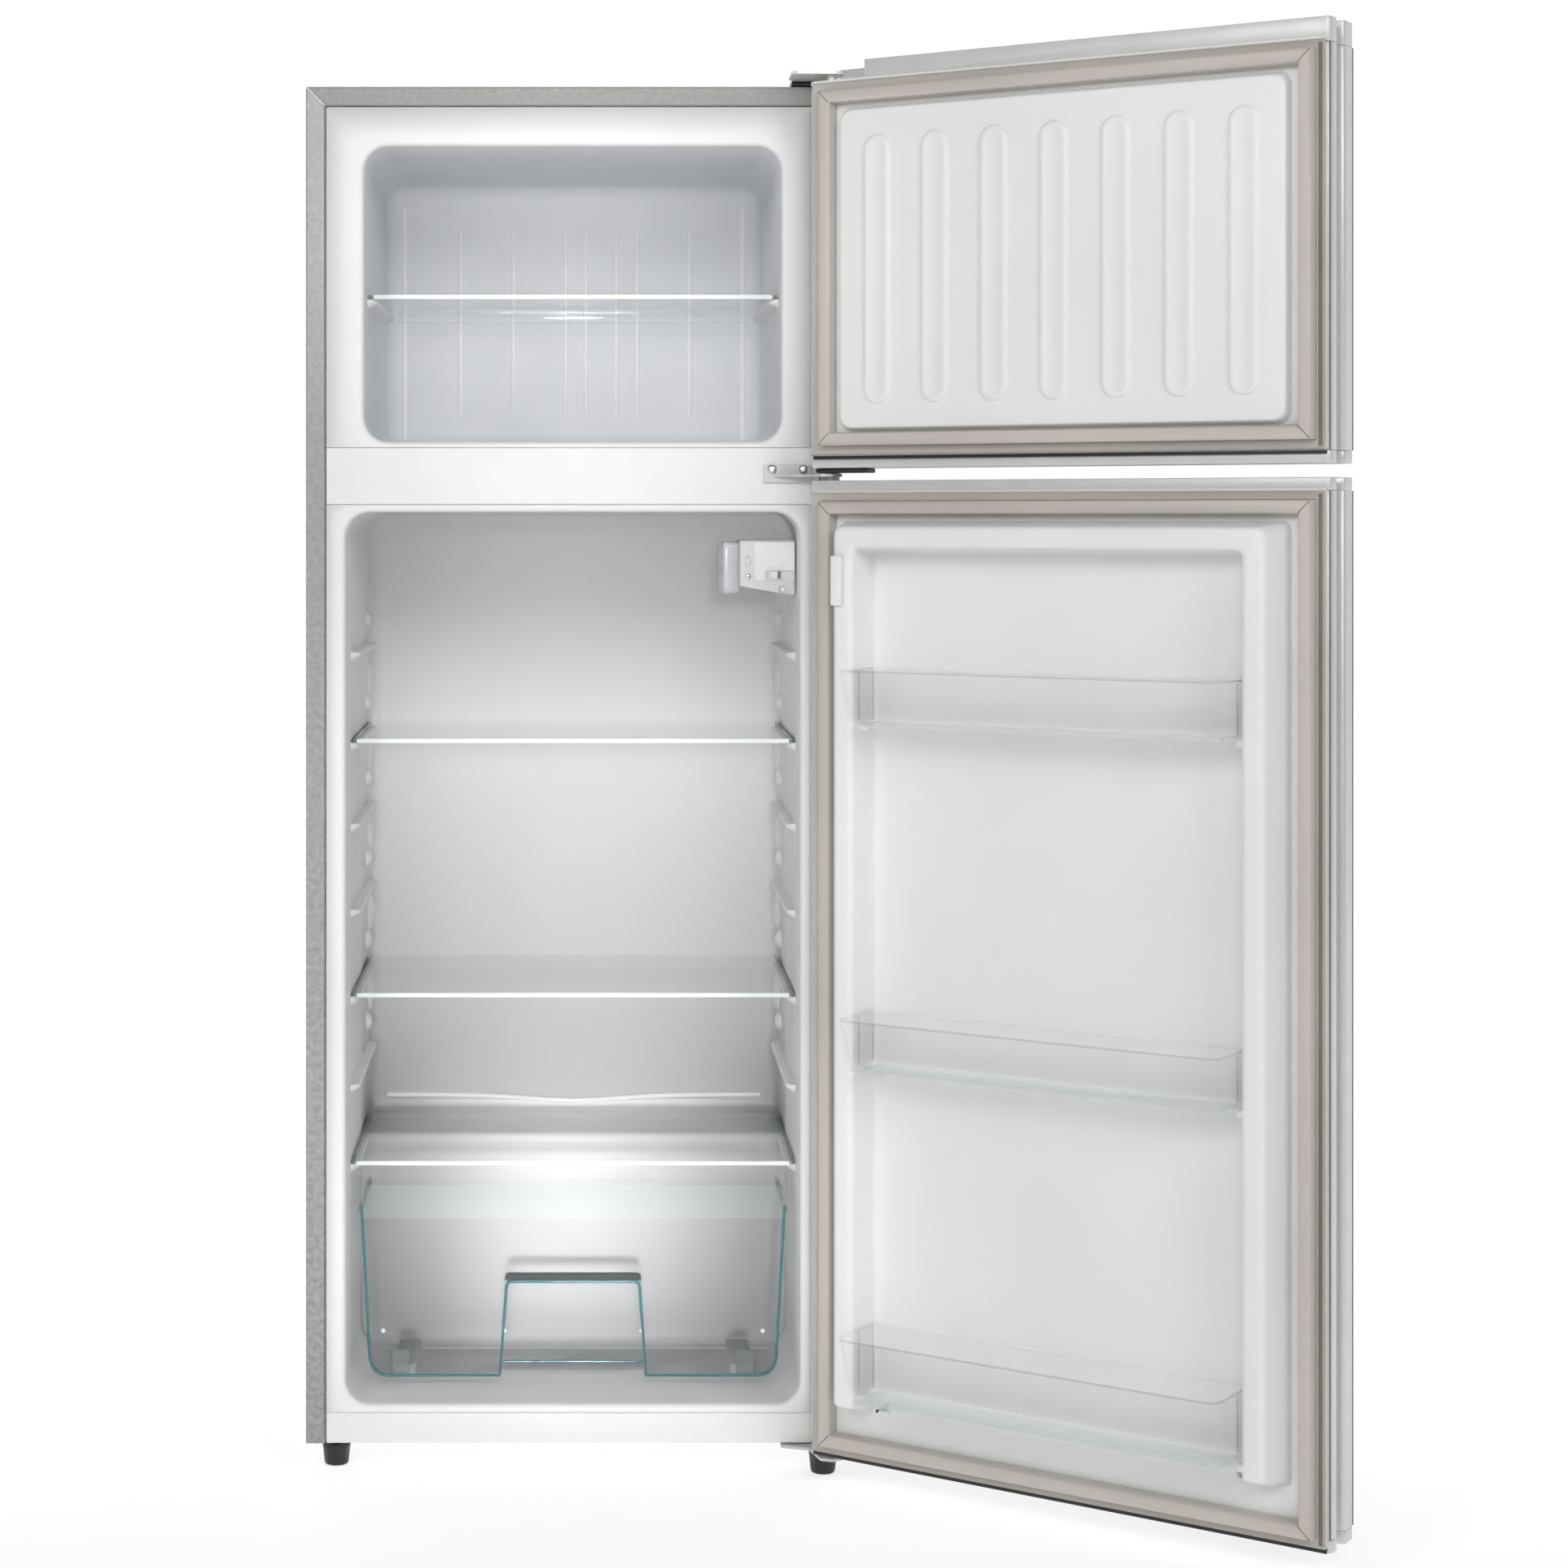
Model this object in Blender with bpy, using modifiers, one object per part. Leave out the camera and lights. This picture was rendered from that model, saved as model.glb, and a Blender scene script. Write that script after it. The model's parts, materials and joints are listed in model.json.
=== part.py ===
"""Two-door top freezer refrigerator with both doors standing open.

Units are metres. Cabinet frame: +X to the right, +Y to the back, +Z up, front face of the cabinet at y = 0,
floor at z = 0. Doors are modelled shut and then turned about their hinge axis by their parent empty.
"""

import math

import bmesh
import bpy
from mathutils import Matrix, Vector

# ---------------------------------------------------------------- driving dimensions
WIDTH = 0.545
DEPTH = 0.460
TOP = 1.414
BOTTOM = 0.030
SHEET = 0.001
GAP = 0.0003
EASE = 0.0008
FLANGE = 0.020
LINER = 0.0015

# where the middle of the whole object's box lies in the cabinet frame
BOX_CENTRE = (0.2231, 0.0499)

FREEZER_HALF = 0.213
FREEZER_Z = (1.052, 1.3535)
FREEZER_FACE_Z = (1.0459, 1.3930)
FREEZER_BACK = 0.400
FRIDGE_HALF = 0.232
FRIDGE_Z = (0.070, 0.980)
FRIDGE_FACE_Z = (0.0612, 0.9877)
FRIDGE_BACK = 0.400
STEP_FRONT = 0.235
STEP_TOP = 0.300
CORNER_RADIUS = 0.025
BACK_RADIUS = 0.018
FACE_HALF = WIDTH / 2 - FLANGE - 0.0012

BAY_FRONT = 0.274
BAY_TOP = 0.245

GLASS = 0.004
SHELF_FRONT = 0.069
SHELF_BACK = 0.360
SHELF_HALF = 0.2295
SHELF_Z = (0.7396, 0.4746)
COVER_BACK = 0.330
FREEZER_SHELF_Z = 1.201
FREEZER_SHELF_FRONT = 0.050
LEDGE_LEVELS = (0.834, 0.7396, 0.655, 0.565, 0.4746, 0.383, 0.3003)

HINGE = (0.2608, -0.0383)
OPEN_ANGLE = math.radians(145.4)
PIN_RADIUS = 0.004
DOOR_INNER = -0.0167
DOOR_OUTER = -0.0760
FREEZER_DOOR_Z = (1.0240, 1.4300)
FREEZER_SEAL_Z = (1.0315, 1.4105)
FREEZER_CAPS = (0.0120, 0.0228)
FRIDGE_DOOR_Z = (0.0344, 1.0115)
FRIDGE_SEAL_Z = (0.0344, 1.0055)
FRIDGE_CAPS = (0.0120, 0.0120)
GRIP = 0.020
GASKET_EDGE = 0.004
GASKET_WIDE = 0.027
GASKET_HIGH = 0.0155
DYKE_HIGH = 0.040
DYKE_FOOT = 0.0905
PANEL_HIGH = 0.010

BIN_DEPTH = 0.083
BIN_DRAFT = 0.28
BIN_HALF = 0.1985
BINS = {"upper": (0.7720, 0.8260), "middle": (0.4340, 0.4870), "lower": (0.1105, 0.1775)}

CRISPER_FRONT = 0.0685
CRISPER_BACK = 0.228
CRISPER_Z = (0.0790, 0.284)
CRISPER_HALF = (0.2125, 0.2232)

MATERIALS = {
    "steel_paint": ((0.56, 0.56, 0.57), 0.35, 0.6, 1.0),
    "liner_white": ((0.90, 0.90, 0.90), 0.35, 0.0, 1.0),
    "trim_white": ((0.93, 0.93, 0.93), 0.30, 0.0, 1.0),
    "zinc": ((0.62, 0.62, 0.60), 0.30, 1.0, 1.0),
    "black_plastic": ((0.02, 0.02, 0.02), 0.45, 0.0, 1.0),
    "black_enamel": ((0.03, 0.03, 0.03), 0.30, 0.2, 1.0),
    "copper": ((0.72, 0.42, 0.28), 0.30, 1.0, 1.0),
    "foam": ((0.85, 0.74, 0.45), 0.90, 0.0, 1.0),
    "gasket": ((0.66, 0.61, 0.57), 0.55, 0.0, 1.0),
    "door_paint": ((0.62, 0.62, 0.62), 0.30, 0.6, 1.0),
    "cap_grey": ((0.70, 0.70, 0.68), 0.30, 0.0, 1.0),
    "glass": ((0.85, 0.95, 0.92), 0.05, 0.0, 0.35),
    "clear_plastic": ((0.80, 0.93, 0.92), 0.10, 0.0, 0.35),
    "lamp_plastic": ((0.92, 0.92, 0.90), 0.25, 0.0, 0.7),
    "lamp_glass": ((0.95, 0.93, 0.85), 0.10, 0.0, 0.5),
    "screw_steel": ((0.70, 0.70, 0.68), 0.25, 1.0, 1.0),
    "rubber": ((0.03, 0.03, 0.03), 0.80, 0.0, 1.0),
}


# ---------------------------------------------------------------- scene helpers
def clear_scene():
    for thing in list(bpy.data.objects):
        bpy.data.objects.remove(thing, do_unlink=True)


def new_collection(name):
    group = bpy.data.collections.new(name)
    bpy.context.scene.collection.children.link(group)
    return group


def make_material(name):
    colour, roughness, metallic, alpha = MATERIALS[name]
    material = bpy.data.materials.new(name)
    material.use_nodes = True
    shader = material.node_tree.nodes["Principled BSDF"]
    shader.inputs["Base Color"].default_value = (*colour, 1.0)
    shader.inputs["Roughness"].default_value = roughness
    shader.inputs["Metallic"].default_value = metallic
    shader.inputs["Alpha"].default_value = alpha
    return material


clear_scene()
PARTS = new_collection("top_freezer_refrigerator")
CUTTERS = new_collection("cutters")
MATERIAL = {name: make_material(name) for name in MATERIALS}


def add_empty(name, place, parent=None, turn=0.0):
    """An empty; place is in the cabinet frame."""
    empty = bpy.data.objects.new(name, None)
    PARTS.objects.link(empty)
    empty.location = place
    empty.rotation_euler = (0.0, 0.0, turn)
    empty["origin"] = tuple(place)
    empty.parent = parent
    return empty


# every piece hangs on this empty, which moves the cabinet frame to the middle of the object's box
CABINET = add_empty("cabinet_frame", (-BOX_CENTRE[0], -BOX_CENTRE[1], 0.0))
CABINET["origin"] = (0.0, 0.0, 0.0)


def door_empty(name):
    """The hinge axis of a door, turned to the open angle."""
    return add_empty(name, (HINGE[0], HINGE[1], 0.0), CABINET, OPEN_ANGLE)


FREEZER_DOOR = door_empty("freezer_door_axis")
FRIDGE_DOOR = door_empty("fridge_door_axis")


def settle(thing, name, material, parent=None, origin=(0.0, 0.0, 0.0), cutter=False):
    """Names an object whose data is in the cabinet frame, and hangs it on its parent."""
    parent = parent or CABINET
    thing.name = name
    thing.data.name = name
    if thing.type == "MESH":
        thing.data.transform(Matrix.Translation(-Vector(origin)))
    thing.parent = parent
    thing.location = Vector(origin) - Vector(parent["origin"])
    thing.data.materials.clear()
    thing.data.materials.append(MATERIAL[material])
    for group in list(thing.users_collection):
        group.objects.unlink(thing)
    (CUTTERS if cutter else PARTS).objects.link(thing)
    if cutter:
        thing.hide_render = True
        thing.display_type = "WIRE"
    return thing


def from_bmesh(bm, smooth_angle=math.radians(35)):
    """An object in no collection yet, shaded smooth where its faces meet at a small angle."""
    bmesh.ops.recalc_face_normals(bm, faces=bm.faces)
    mesh = bpy.data.meshes.new("mesh")
    bm.to_mesh(mesh)
    bm.free()
    mesh.shade_smooth()
    mesh.set_sharp_from_angle(angle=smooth_angle)
    return bpy.data.objects.new("piece", mesh)


def box(low, high):
    bm = bmesh.new()
    size = Vector(high) - Vector(low)
    middle = (Vector(high) + Vector(low)) / 2
    bmesh.ops.create_cube(bm, size=1.0, matrix=Matrix.Translation(middle) @ Matrix.Diagonal((*size, 1.0)))
    return from_bmesh(bm)


def rod(start, end, radius, sides=20, end_radius=None):
    """A solid cylinder or cone between two points."""
    start, end = Vector(start), Vector(end)
    turn = (end - start).to_track_quat("Z", "Y").to_matrix().to_4x4()
    bm = bmesh.new()
    bmesh.ops.create_cone(
        bm,
        cap_ends=True,
        segments=sides,
        radius1=radius,
        radius2=radius if end_radius is None else end_radius,
        depth=(end - start).length,
        matrix=Matrix.Translation((start + end) / 2) @ turn,
    )
    return from_bmesh(bm)


def turned(profile, centre, sides=20):
    """A turned solid about +Z: its profile is (radius, height) points from top to bottom."""
    bm = bmesh.new()
    row = [bm.verts.new((r + centre[0], centre[1], z + centre[2])) for r, z in profile]
    for a, b in zip(row, row[1:]):
        bm.edges.new((a, b))
    mesh = bpy.data.meshes.new("profile")
    bmesh.ops.translate(bm, verts=bm.verts, vec=-Vector(centre))
    bm.to_mesh(mesh)
    bm.free()
    thing = bpy.data.objects.new("turned", mesh)
    screw = thing.modifiers.new("Screw", "SCREW")
    screw.steps = sides
    screw.render_steps = sides
    screw.use_merge_vertices = True
    screw.merge_threshold = 0.00001
    screw.use_smooth_shade = True
    return thing


def settle_turned(profile, centre, name, material, parent=None, sides=20):
    """A turned solid with its origin on its own axis."""
    thing = turned(profile, centre, sides)
    settle(thing, name, material, parent)
    thing.location = Vector(centre) - Vector((parent or CABINET)["origin"])
    return thing


def outlined(points, low, high, holes=(), up=(0.0, 0.0, 1.0)):
    """A flat outline of (a, b) points made as thick as low to high along up (+Z or +Y), with round holes."""
    curve = bpy.data.curves.new("outline", "CURVE")
    curve.dimensions = "2D"
    curve.fill_mode = "BOTH"
    curve.extrude = (high - low) / 2
    rings = [points] + [
        [(a + r * math.cos(t * math.tau / 16), b + r * math.sin(t * math.tau / 16)) for t in range(16)]
        for a, b, r in holes
    ]
    for ring in rings:
        spline = curve.splines.new("POLY")
        spline.points.add(len(ring) - 1)
        for point, (a, b) in zip(spline.points, ring):
            point.co = (a, b, 0.0, 1.0)
        spline.use_cyclic_u = True
    flat = bpy.data.objects.new("outline", curve)
    PARTS.objects.link(flat)
    bpy.context.view_layer.update()
    evaluated = flat.evaluated_get(bpy.context.evaluated_depsgraph_get())
    mesh = bpy.data.meshes.new_from_object(evaluated)
    bpy.data.objects.remove(flat, do_unlink=True)
    bm = bmesh.new()
    bm.from_mesh(mesh)
    bmesh.ops.remove_doubles(bm, verts=bm.verts, dist=0.00001)
    bmesh.ops.translate(bm, verts=bm.verts, vec=(0.0, 0.0, (low + high) / 2))
    if up[1]:
        # (a, b, height) becomes (a, height, b)
        swap = Matrix(((1, 0, 0), (0, 0, 1), (0, 1, 0))).to_4x4()
        bmesh.ops.transform(bm, matrix=swap, verts=bm.verts)
    return from_bmesh(bm)


def tube(points, radius, name, material, cutter=False):
    """A bent tube: a POLY curve with round section and closed ends."""
    curve = bpy.data.curves.new(name, "CURVE")
    curve.dimensions = "3D"
    curve.bevel_depth = radius
    curve.bevel_resolution = 2
    curve.use_fill_caps = True
    spline = curve.splines.new("POLY")
    spline.points.add(len(points) - 1)
    for point, place in zip(spline.points, points):
        point.co = (*place, 1.0)
    return settle(bpy.data.objects.new(name, curve), name, material, cutter=cutter)


def rounded(points, radius, steps=3):
    """A route of straight runs with each inner corner replaced by an arc."""
    route = [Vector(points[0])]
    for before, corner, after in zip(points, points[1:], points[2:]):
        before, corner, after = Vector(before), Vector(corner), Vector(after)
        start = corner + (before - corner).normalized() * radius
        end = corner + (after - corner).normalized() * radius
        for i in range(steps + 1):
            t = i / steps
            route.append(start * (1 - t) ** 2 + corner * 2 * t * (1 - t) + end * t**2)
    route.append(Vector(points[-1]))
    return route


def round_rectangle(half, low, high, radius, steps=4):
    """(x, z) points of a rectangle with rounded corners, anticlockwise seen from the front."""
    points = []
    for x, z, start in ((half, low, -90), (half, high, 0), (-half, high, 90), (-half, low, 180)):
        cx = x - math.copysign(radius, x)
        cz = z + (radius if z == low else -radius)
        for i in range(steps + 1):
            a = math.radians(start + 90 * i / steps)
            points.append((cx + radius * math.cos(a), cz + radius * math.sin(a)))
    return points


def loft(rings, front_cap=True, back_cap=True):
    """A surface through rings of equal length; each ring is a list of (x, y, z) points."""
    bm = bmesh.new()
    rows = [[bm.verts.new(p) for p in ring] for ring in rings]
    count = len(rows[0])
    for a, b in zip(rows, rows[1:]):
        for i in range(count):
            j = (i + 1) % count
            bm.faces.new((a[i], a[j], b[j], b[i]))
    if front_cap:
        bm.faces.new(rows[0])
    if back_cap:
        bm.faces.new(rows[-1])
    return from_bmesh(bm)


def boolean(thing, other, operation):
    step = thing.modifiers.new(operation.title(), "BOOLEAN")
    step.operation = operation
    step.object = other


def bevel(thing, width, segments=2, angle=math.radians(40)):
    step = thing.modifiers.new("Bevel", "BEVEL")
    step.width = width
    step.segments = segments
    step.limit_method = "ANGLE"
    step.angle_limit = angle


def solidify(thing, thickness, offset=-1.0):
    step = thing.modifiers.new("Solidify", "SOLIDIFY")
    step.thickness = thickness
    step.offset = offset
    step.use_even_offset = True


def cutter(thing, name, parent=None):
    return settle(thing, name, "foam", parent, cutter=True)


# ---------------------------------------------------------------- cabinet shell
def folded_sheet(sections, name, material, thickness, rounding=0.0, parent=None):
    """A sheet through matching rows of points, open at its ends and thickened away from its normals."""
    bm = bmesh.new()
    rows = [[bm.verts.new(p) for p in row] for row in sections]
    for a, b in zip(rows, rows[1:]):
        for i in range(len(a) - 1):
            bm.faces.new((a[i], a[i + 1], b[i + 1], b[i]))
    thing = settle(from_bmesh(bm), name, material, parent)
    if rounding:
        bevel(thing, rounding, 2)
    solidify(thing, thickness)
    return thing


def outward(thing, point, direction):
    """Turns an open sheet's faces so that the face nearest a point looks along a direction."""
    mesh = thing.data
    nearest = min(mesh.polygons, key=lambda face: (face.center - Vector(point)).length)
    if nearest.normal.dot(Vector(direction)) < 0:
        mesh.flip_normals()


def build_outer_cabinet():
    """The painted wrap: two sides and a top, with mitred front flanges."""
    half = WIDTH / 2

    def row(inset, y):
        x = half - inset
        z = TOP - inset
        return [(-x, y, BOTTOM), (-x, y, z), (x, y, z), (x, y, BOTTOM)]

    rows = [row(0, DEPTH), row(0, 0), row(FLANGE, 0)]
    wrap = folded_sheet(rows, "outer_cabinet", "steel_paint", SHEET, 0.002)
    outward(wrap, (0, DEPTH / 2, TOP), (0, 0, 1))


def build_back_panel():
    """The back sheet, folded forward over the compressor bay and down its front wall."""
    x = WIDTH / 2 - SHEET - EASE
    path = [
        (DEPTH - 0.0005, TOP - SHEET - EASE),
        (DEPTH - 0.0005, BAY_TOP),
        (BAY_FRONT, BAY_TOP),
        (BAY_FRONT, BOTTOM + 0.0055),
    ]
    rows = [[(side, y, z) for y, z in path] for side in (-x, x)]
    panel = folded_sheet(rows, "back_panel", "steel_paint", SHEET)
    outward(panel, (0, DEPTH, 1), (0, 1, 0))


def build_base():
    """The pan under the front of the cabinet and the plate that carries the compressor and the rear feet."""
    x = WIDTH / 2 - SHEET - EASE
    settle(box((-x, 0.0125, BOTTOM + 0.0005), (x, BAY_FRONT - 0.001, BOTTOM + 0.0020)), "base_pan", "zinc")
    low, high = BOTTOM + 0.0005, BOTTOM + 0.0025
    plate = settle(box((-x, BAY_FRONT + 0.001, low), (x, DEPTH - 0.002, high)), "compressor_plate", "zinc")
    for side in (-1, 1):
        x, y = side * 0.235, DEPTH - 0.030
        foot = rod((x, y, 0.0), (x, y, low + 0.001), 0.012, 20, 0.014)
        boolean(plate, cutter(foot, f"rear_foot_{'left' if side < 0 else 'right'}"), "UNION")


def cavity(half, z, back, grow, front=0.0):
    """The air of a compartment as a solid, grown by a wall thickness; z is its lowest and highest level."""
    low, high = z[0] - grow, z[1] + grow
    half, back = half + grow, back + grow
    corner = CORNER_RADIUS + grow
    rings = [[(x, front, zz) for x, zz in round_rectangle(half, low, high, corner)]]
    for i in range(4):
        a = math.radians(30 * i)
        inset = BACK_RADIUS * (1 - math.cos(a))
        y = back - BACK_RADIUS + BACK_RADIUS * math.sin(a)
        outline = round_rectangle(half - inset, low + inset, high - inset, corner - inset)
        rings.append([(x, y, zz) for x, zz in outline])
    return loft(rings)


def fridge_cavity(grow, name, front=0.0):
    """The fridge compartment's air, less the step over the compressor bay."""
    air = cutter(cavity(FRIDGE_HALF, FRIDGE_Z, FRIDGE_BACK, grow, front), name)
    step = box((-0.3, STEP_FRONT + grow, 0.0), (0.3, 0.5, STEP_TOP - grow))
    bevel(step, 0.010 - grow)
    boolean(air, cutter(step, name + "_step"), "DIFFERENCE")
    return air


def front_face(z, thickness=0.002):
    return box((-FACE_HALF, 0.0, z[0]), (FACE_HALF, thickness, z[1]))


def build_freezer_liner():
    """A thin moulded tub with a flat front face, ribs on its back wall and two shelf ledges."""
    liner = settle(front_face(FREEZER_FACE_Z), "freezer_liner", "liner_white")
    boolean(liner, cutter(cavity(FREEZER_HALF, FREEZER_Z, FREEZER_BACK, LINER), "freezer_tub"), "UNION")
    air = cavity(FREEZER_HALF, FREEZER_Z, FREEZER_BACK, 0.0, -0.01)
    boolean(liner, cutter(air, "freezer_air"), "DIFFERENCE")
    for side in (-1, 1):
        reach = sorted((side * (FREEZER_HALF - 0.010), side * (FREEZER_HALF + 0.0008)))
        low = (reach[0], FREEZER_SHELF_FRONT + 0.004, FREEZER_SHELF_Z - 0.010)
        high = (reach[1], 0.350, FREEZER_SHELF_Z - GAP)
        name = f"freezer_ledge_{'left' if side < 0 else 'right'}"
        boolean(liner, cutter(box(low, high), name), "UNION")


def build_fridge_liner():
    """A thin moulded tub with shelf ledges, two drawer runners and the step over the compressor bay."""
    liner = settle(front_face(FRIDGE_FACE_Z), "fridge_liner", "liner_white")
    boolean(liner, fridge_cavity(LINER, "fridge_tub"), "UNION")
    boolean(liner, fridge_cavity(0.0, "fridge_air", -0.01), "DIFFERENCE")
    for level, z in enumerate(LEDGE_LEVELS, 1):
        for side in (-1, 1):
            reach = sorted((side * (FRIDGE_HALF - 0.010), side * (FRIDGE_HALF + 0.0008)))
            back = 0.345 if z > STEP_TOP + 0.01 else STEP_FRONT - 0.012
            ledge = box((reach[0], SHELF_FRONT + 0.006, z - 0.008), (reach[1], back, z - GAP))
            name = f"fridge_ledge_{level}_{'left' if side < 0 else 'right'}"
            boolean(liner, cutter(ledge, name), "UNION")
    for side in (-1, 1):
        low = (side * 0.178 - 0.012, CRISPER_FRONT + 0.004, FRIDGE_Z[0] - 0.0008)
        high = (side * 0.178 + 0.012, STEP_FRONT - 0.012, CRISPER_Z[0] - GAP)
        boolean(liner, cutter(box(low, high), f"drawer_runner_{'left' if side < 0 else 'right'}"), "UNION")


def build_foam():
    """The insulation that fills the cabinet between the sheets and the two liners."""
    x = WIDTH / 2 - SHEET - EASE
    low = (-x, 0.0040, BOTTOM + 0.0030)
    high = (x, DEPTH - 0.0005 - SHEET - GAP, TOP - SHEET - EASE)
    foam = settle(box(low, high), "cabinet_foam", "foam")
    bay = box((-0.4, BAY_FRONT - SHEET - GAP, -0.1), (0.4, 0.6, BAY_TOP + SHEET + GAP))
    boolean(foam, cutter(bay, "bay_air"), "DIFFERENCE")
    tub = cavity(FREEZER_HALF, FREEZER_Z, FREEZER_BACK, LINER + GAP, -0.01)
    boolean(foam, cutter(tub, "freezer_pocket"), "DIFFERENCE")
    boolean(foam, fridge_cavity(LINER + GAP, "fridge_pocket", -0.01), "DIFFERENCE")
    behind = FREEZER_BACK + LINER
    pocket = box((-0.181, behind - 0.002, 1.079), (0.181, behind + 0.0025 + 2 * GAP, 1.326))
    boolean(foam, cutter(pocket, "evaporator_pocket"), "DIFFERENCE")
    plate = box((-0.180, behind + GAP, 1.080), (0.180, behind + 0.0018 + GAP, 1.325))
    settle(plate, "evaporator_plate", "zinc")


def build_front_trims():
    """The bar between the two compartments and the rail under the lower one."""
    z = (FRIDGE_FACE_Z[1] + GAP, FREEZER_FACE_Z[0] - GAP)
    bar = settle(box((-FACE_HALF, -0.0006, z[0]), (FACE_HALF, 0.0030, z[1])), "mullion_cover", "trim_white")
    bevel(bar, 0.0008, 1)
    rail = box((-FACE_HALF, 0.0, BOTTOM + 0.0005), (FACE_HALF, 0.0035, FRIDGE_FACE_Z[0] - GAP))
    settle(rail, "bottom_rail", "trim_white")


# ---------------------------------------------------------------- refrigeration parts
def serpentine(left, right, y, low, high, runs, bend=4):
    """A route that crosses from side to side on its way down, with round turns."""
    pitch = (high - low) / (runs - 1)
    radius = pitch / 2
    route = []
    for run in range(runs):
        z = high - run * pitch
        ends = (left + radius, right - radius) if run % 2 == 0 else (right - radius, left + radius)
        route += [(ends[0], y, z), (ends[1], y, z)]
        if run < runs - 1:
            side = 1 if run % 2 == 0 else -1
            for i in range(1, bend):
                a = math.pi * i / bend
                route.append((ends[1] + side * radius * math.sin(a), y, z - radius + radius * math.cos(a)))
    return route


COMPRESSOR = (0.060, 0.372, 0.0)


def build_compressor():
    """A welded steel shell on a footed plate, with four rubber grommets between it and its carrier."""
    x, y, _ = COMPRESSOR
    base = BOTTOM + 0.0125
    profile = [(0.0, 0.150), (0.030, 0.147), (0.052, 0.136), (0.066, 0.116), (0.070, 0.095)]
    profile += [(0.072, 0.092), (0.072, 0.086), (0.070, 0.083), (0.069, 0.040)]
    profile += [(0.060, 0.016), (0.040, 0.006), (0.0, 0.004)]
    shell = settle_turned(profile, (x, y, base), "compressor", "black_enamel", sides=24)
    spread = (0.078, 0.056)
    wide, deep = spread[0] + 0.014, spread[1] + 0.012
    feet = box((x - wide, y - deep, base), (x + wide, y + deep, base + 0.0045))
    bevel(feet, 0.002, 1)
    boolean(shell, cutter(feet, "compressor_feet"), "UNION")
    corners = [(sx * spread[0], sy * spread[1]) for sx in (-1, 1) for sy in (-1, 1)]
    for number, (dx, dy) in enumerate(corners, 1):
        low, high = BOTTOM + 0.0025 + GAP, base - GAP
        tall = high - low
        rings = [(0.0, tall), (0.008, tall), (0.009, tall - 0.002), (0.007, tall / 2)]
        rings += [(0.010, 0.0015), (0.010, 0.0), (0.0, 0.0)]
        settle_turned(rings, (x + dx, y + dy, low), f"compressor_grommet_{number}", "rubber", sides=14)
    relay = box((x + 0.0745, y - 0.026, base + 0.030), (x + 0.112, y + 0.026, base + 0.088))
    bevel(relay, 0.004)
    settle(relay, "starter_relay_cover", "black_plastic")
    gland = [(0.0, 0.016), (0.0035, 0.016), (0.0055, 0.004), (0.0080, 0.003), (0.0080, 0.0), (0.0, 0.0)]
    settle_turned(gland, (x + 0.093, y, base + 0.088 + GAP), "cord_gland", "rubber", sides=16)


def build_bay_pieces():
    """The water tray over the compressor, the drier and the hot gas pipe."""
    x, y, _ = COMPRESSOR
    tray = open_tray((x - 0.085, y - 0.055), (x + 0.062, y + 0.062), 0.206, 0.228)
    settle(tray, "drip_tray", "black_plastic")
    drier = [(0.0, 0.120), (0.003, 0.120), (0.003, 0.108), (0.009, 0.094)]
    drier += [(0.009, 0.030), (0.003, 0.014), (0.003, 0.0), (0.0, 0.0)]
    settle_turned(drier, (-0.150, 0.400, 0.080), "filter_drier", "copper", sides=14)
    low, side, behind = 0.100, x - 0.115, DEPTH + 0.017
    corners = [(x - 0.0745, y - 0.010, low), (side, y - 0.010, low)]
    corners += [(side, behind, low), (side, behind, 0.285)]
    tube(rounded(corners, 0.018), 0.0025, "discharge_pipe", "copper")


def open_tray(low, high, base, rim):
    """An open tray made as a thin shell."""
    half = ((high[0] - low[0]) / 2, (high[1] - low[1]) / 2)
    middle = ((high[0] + low[0]) / 2, (high[1] + low[1]) / 2)

    def ring(inset, z):
        points = round_rectangle(half[0] - inset, -half[1] + inset, half[1] - inset, 0.012, 2)
        return [(a + middle[0], b + middle[1], z) for a, b in points]

    shell = loft([ring(0.006, base), ring(0.0, rim)], front_cap=True, back_cap=False)
    outward(shell, (middle[0], middle[1], base), (0, 0, -1))
    solidify(shell, 0.0015)
    return shell


def build_condenser():
    """The black serpentine condenser that stands off the back panel."""
    y = DEPTH + 0.017
    route = serpentine(-0.215, 0.215, y, 0.300, 1.300, 11)
    tube(route, 0.0025, "condenser_coil", "black_enamel")


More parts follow.
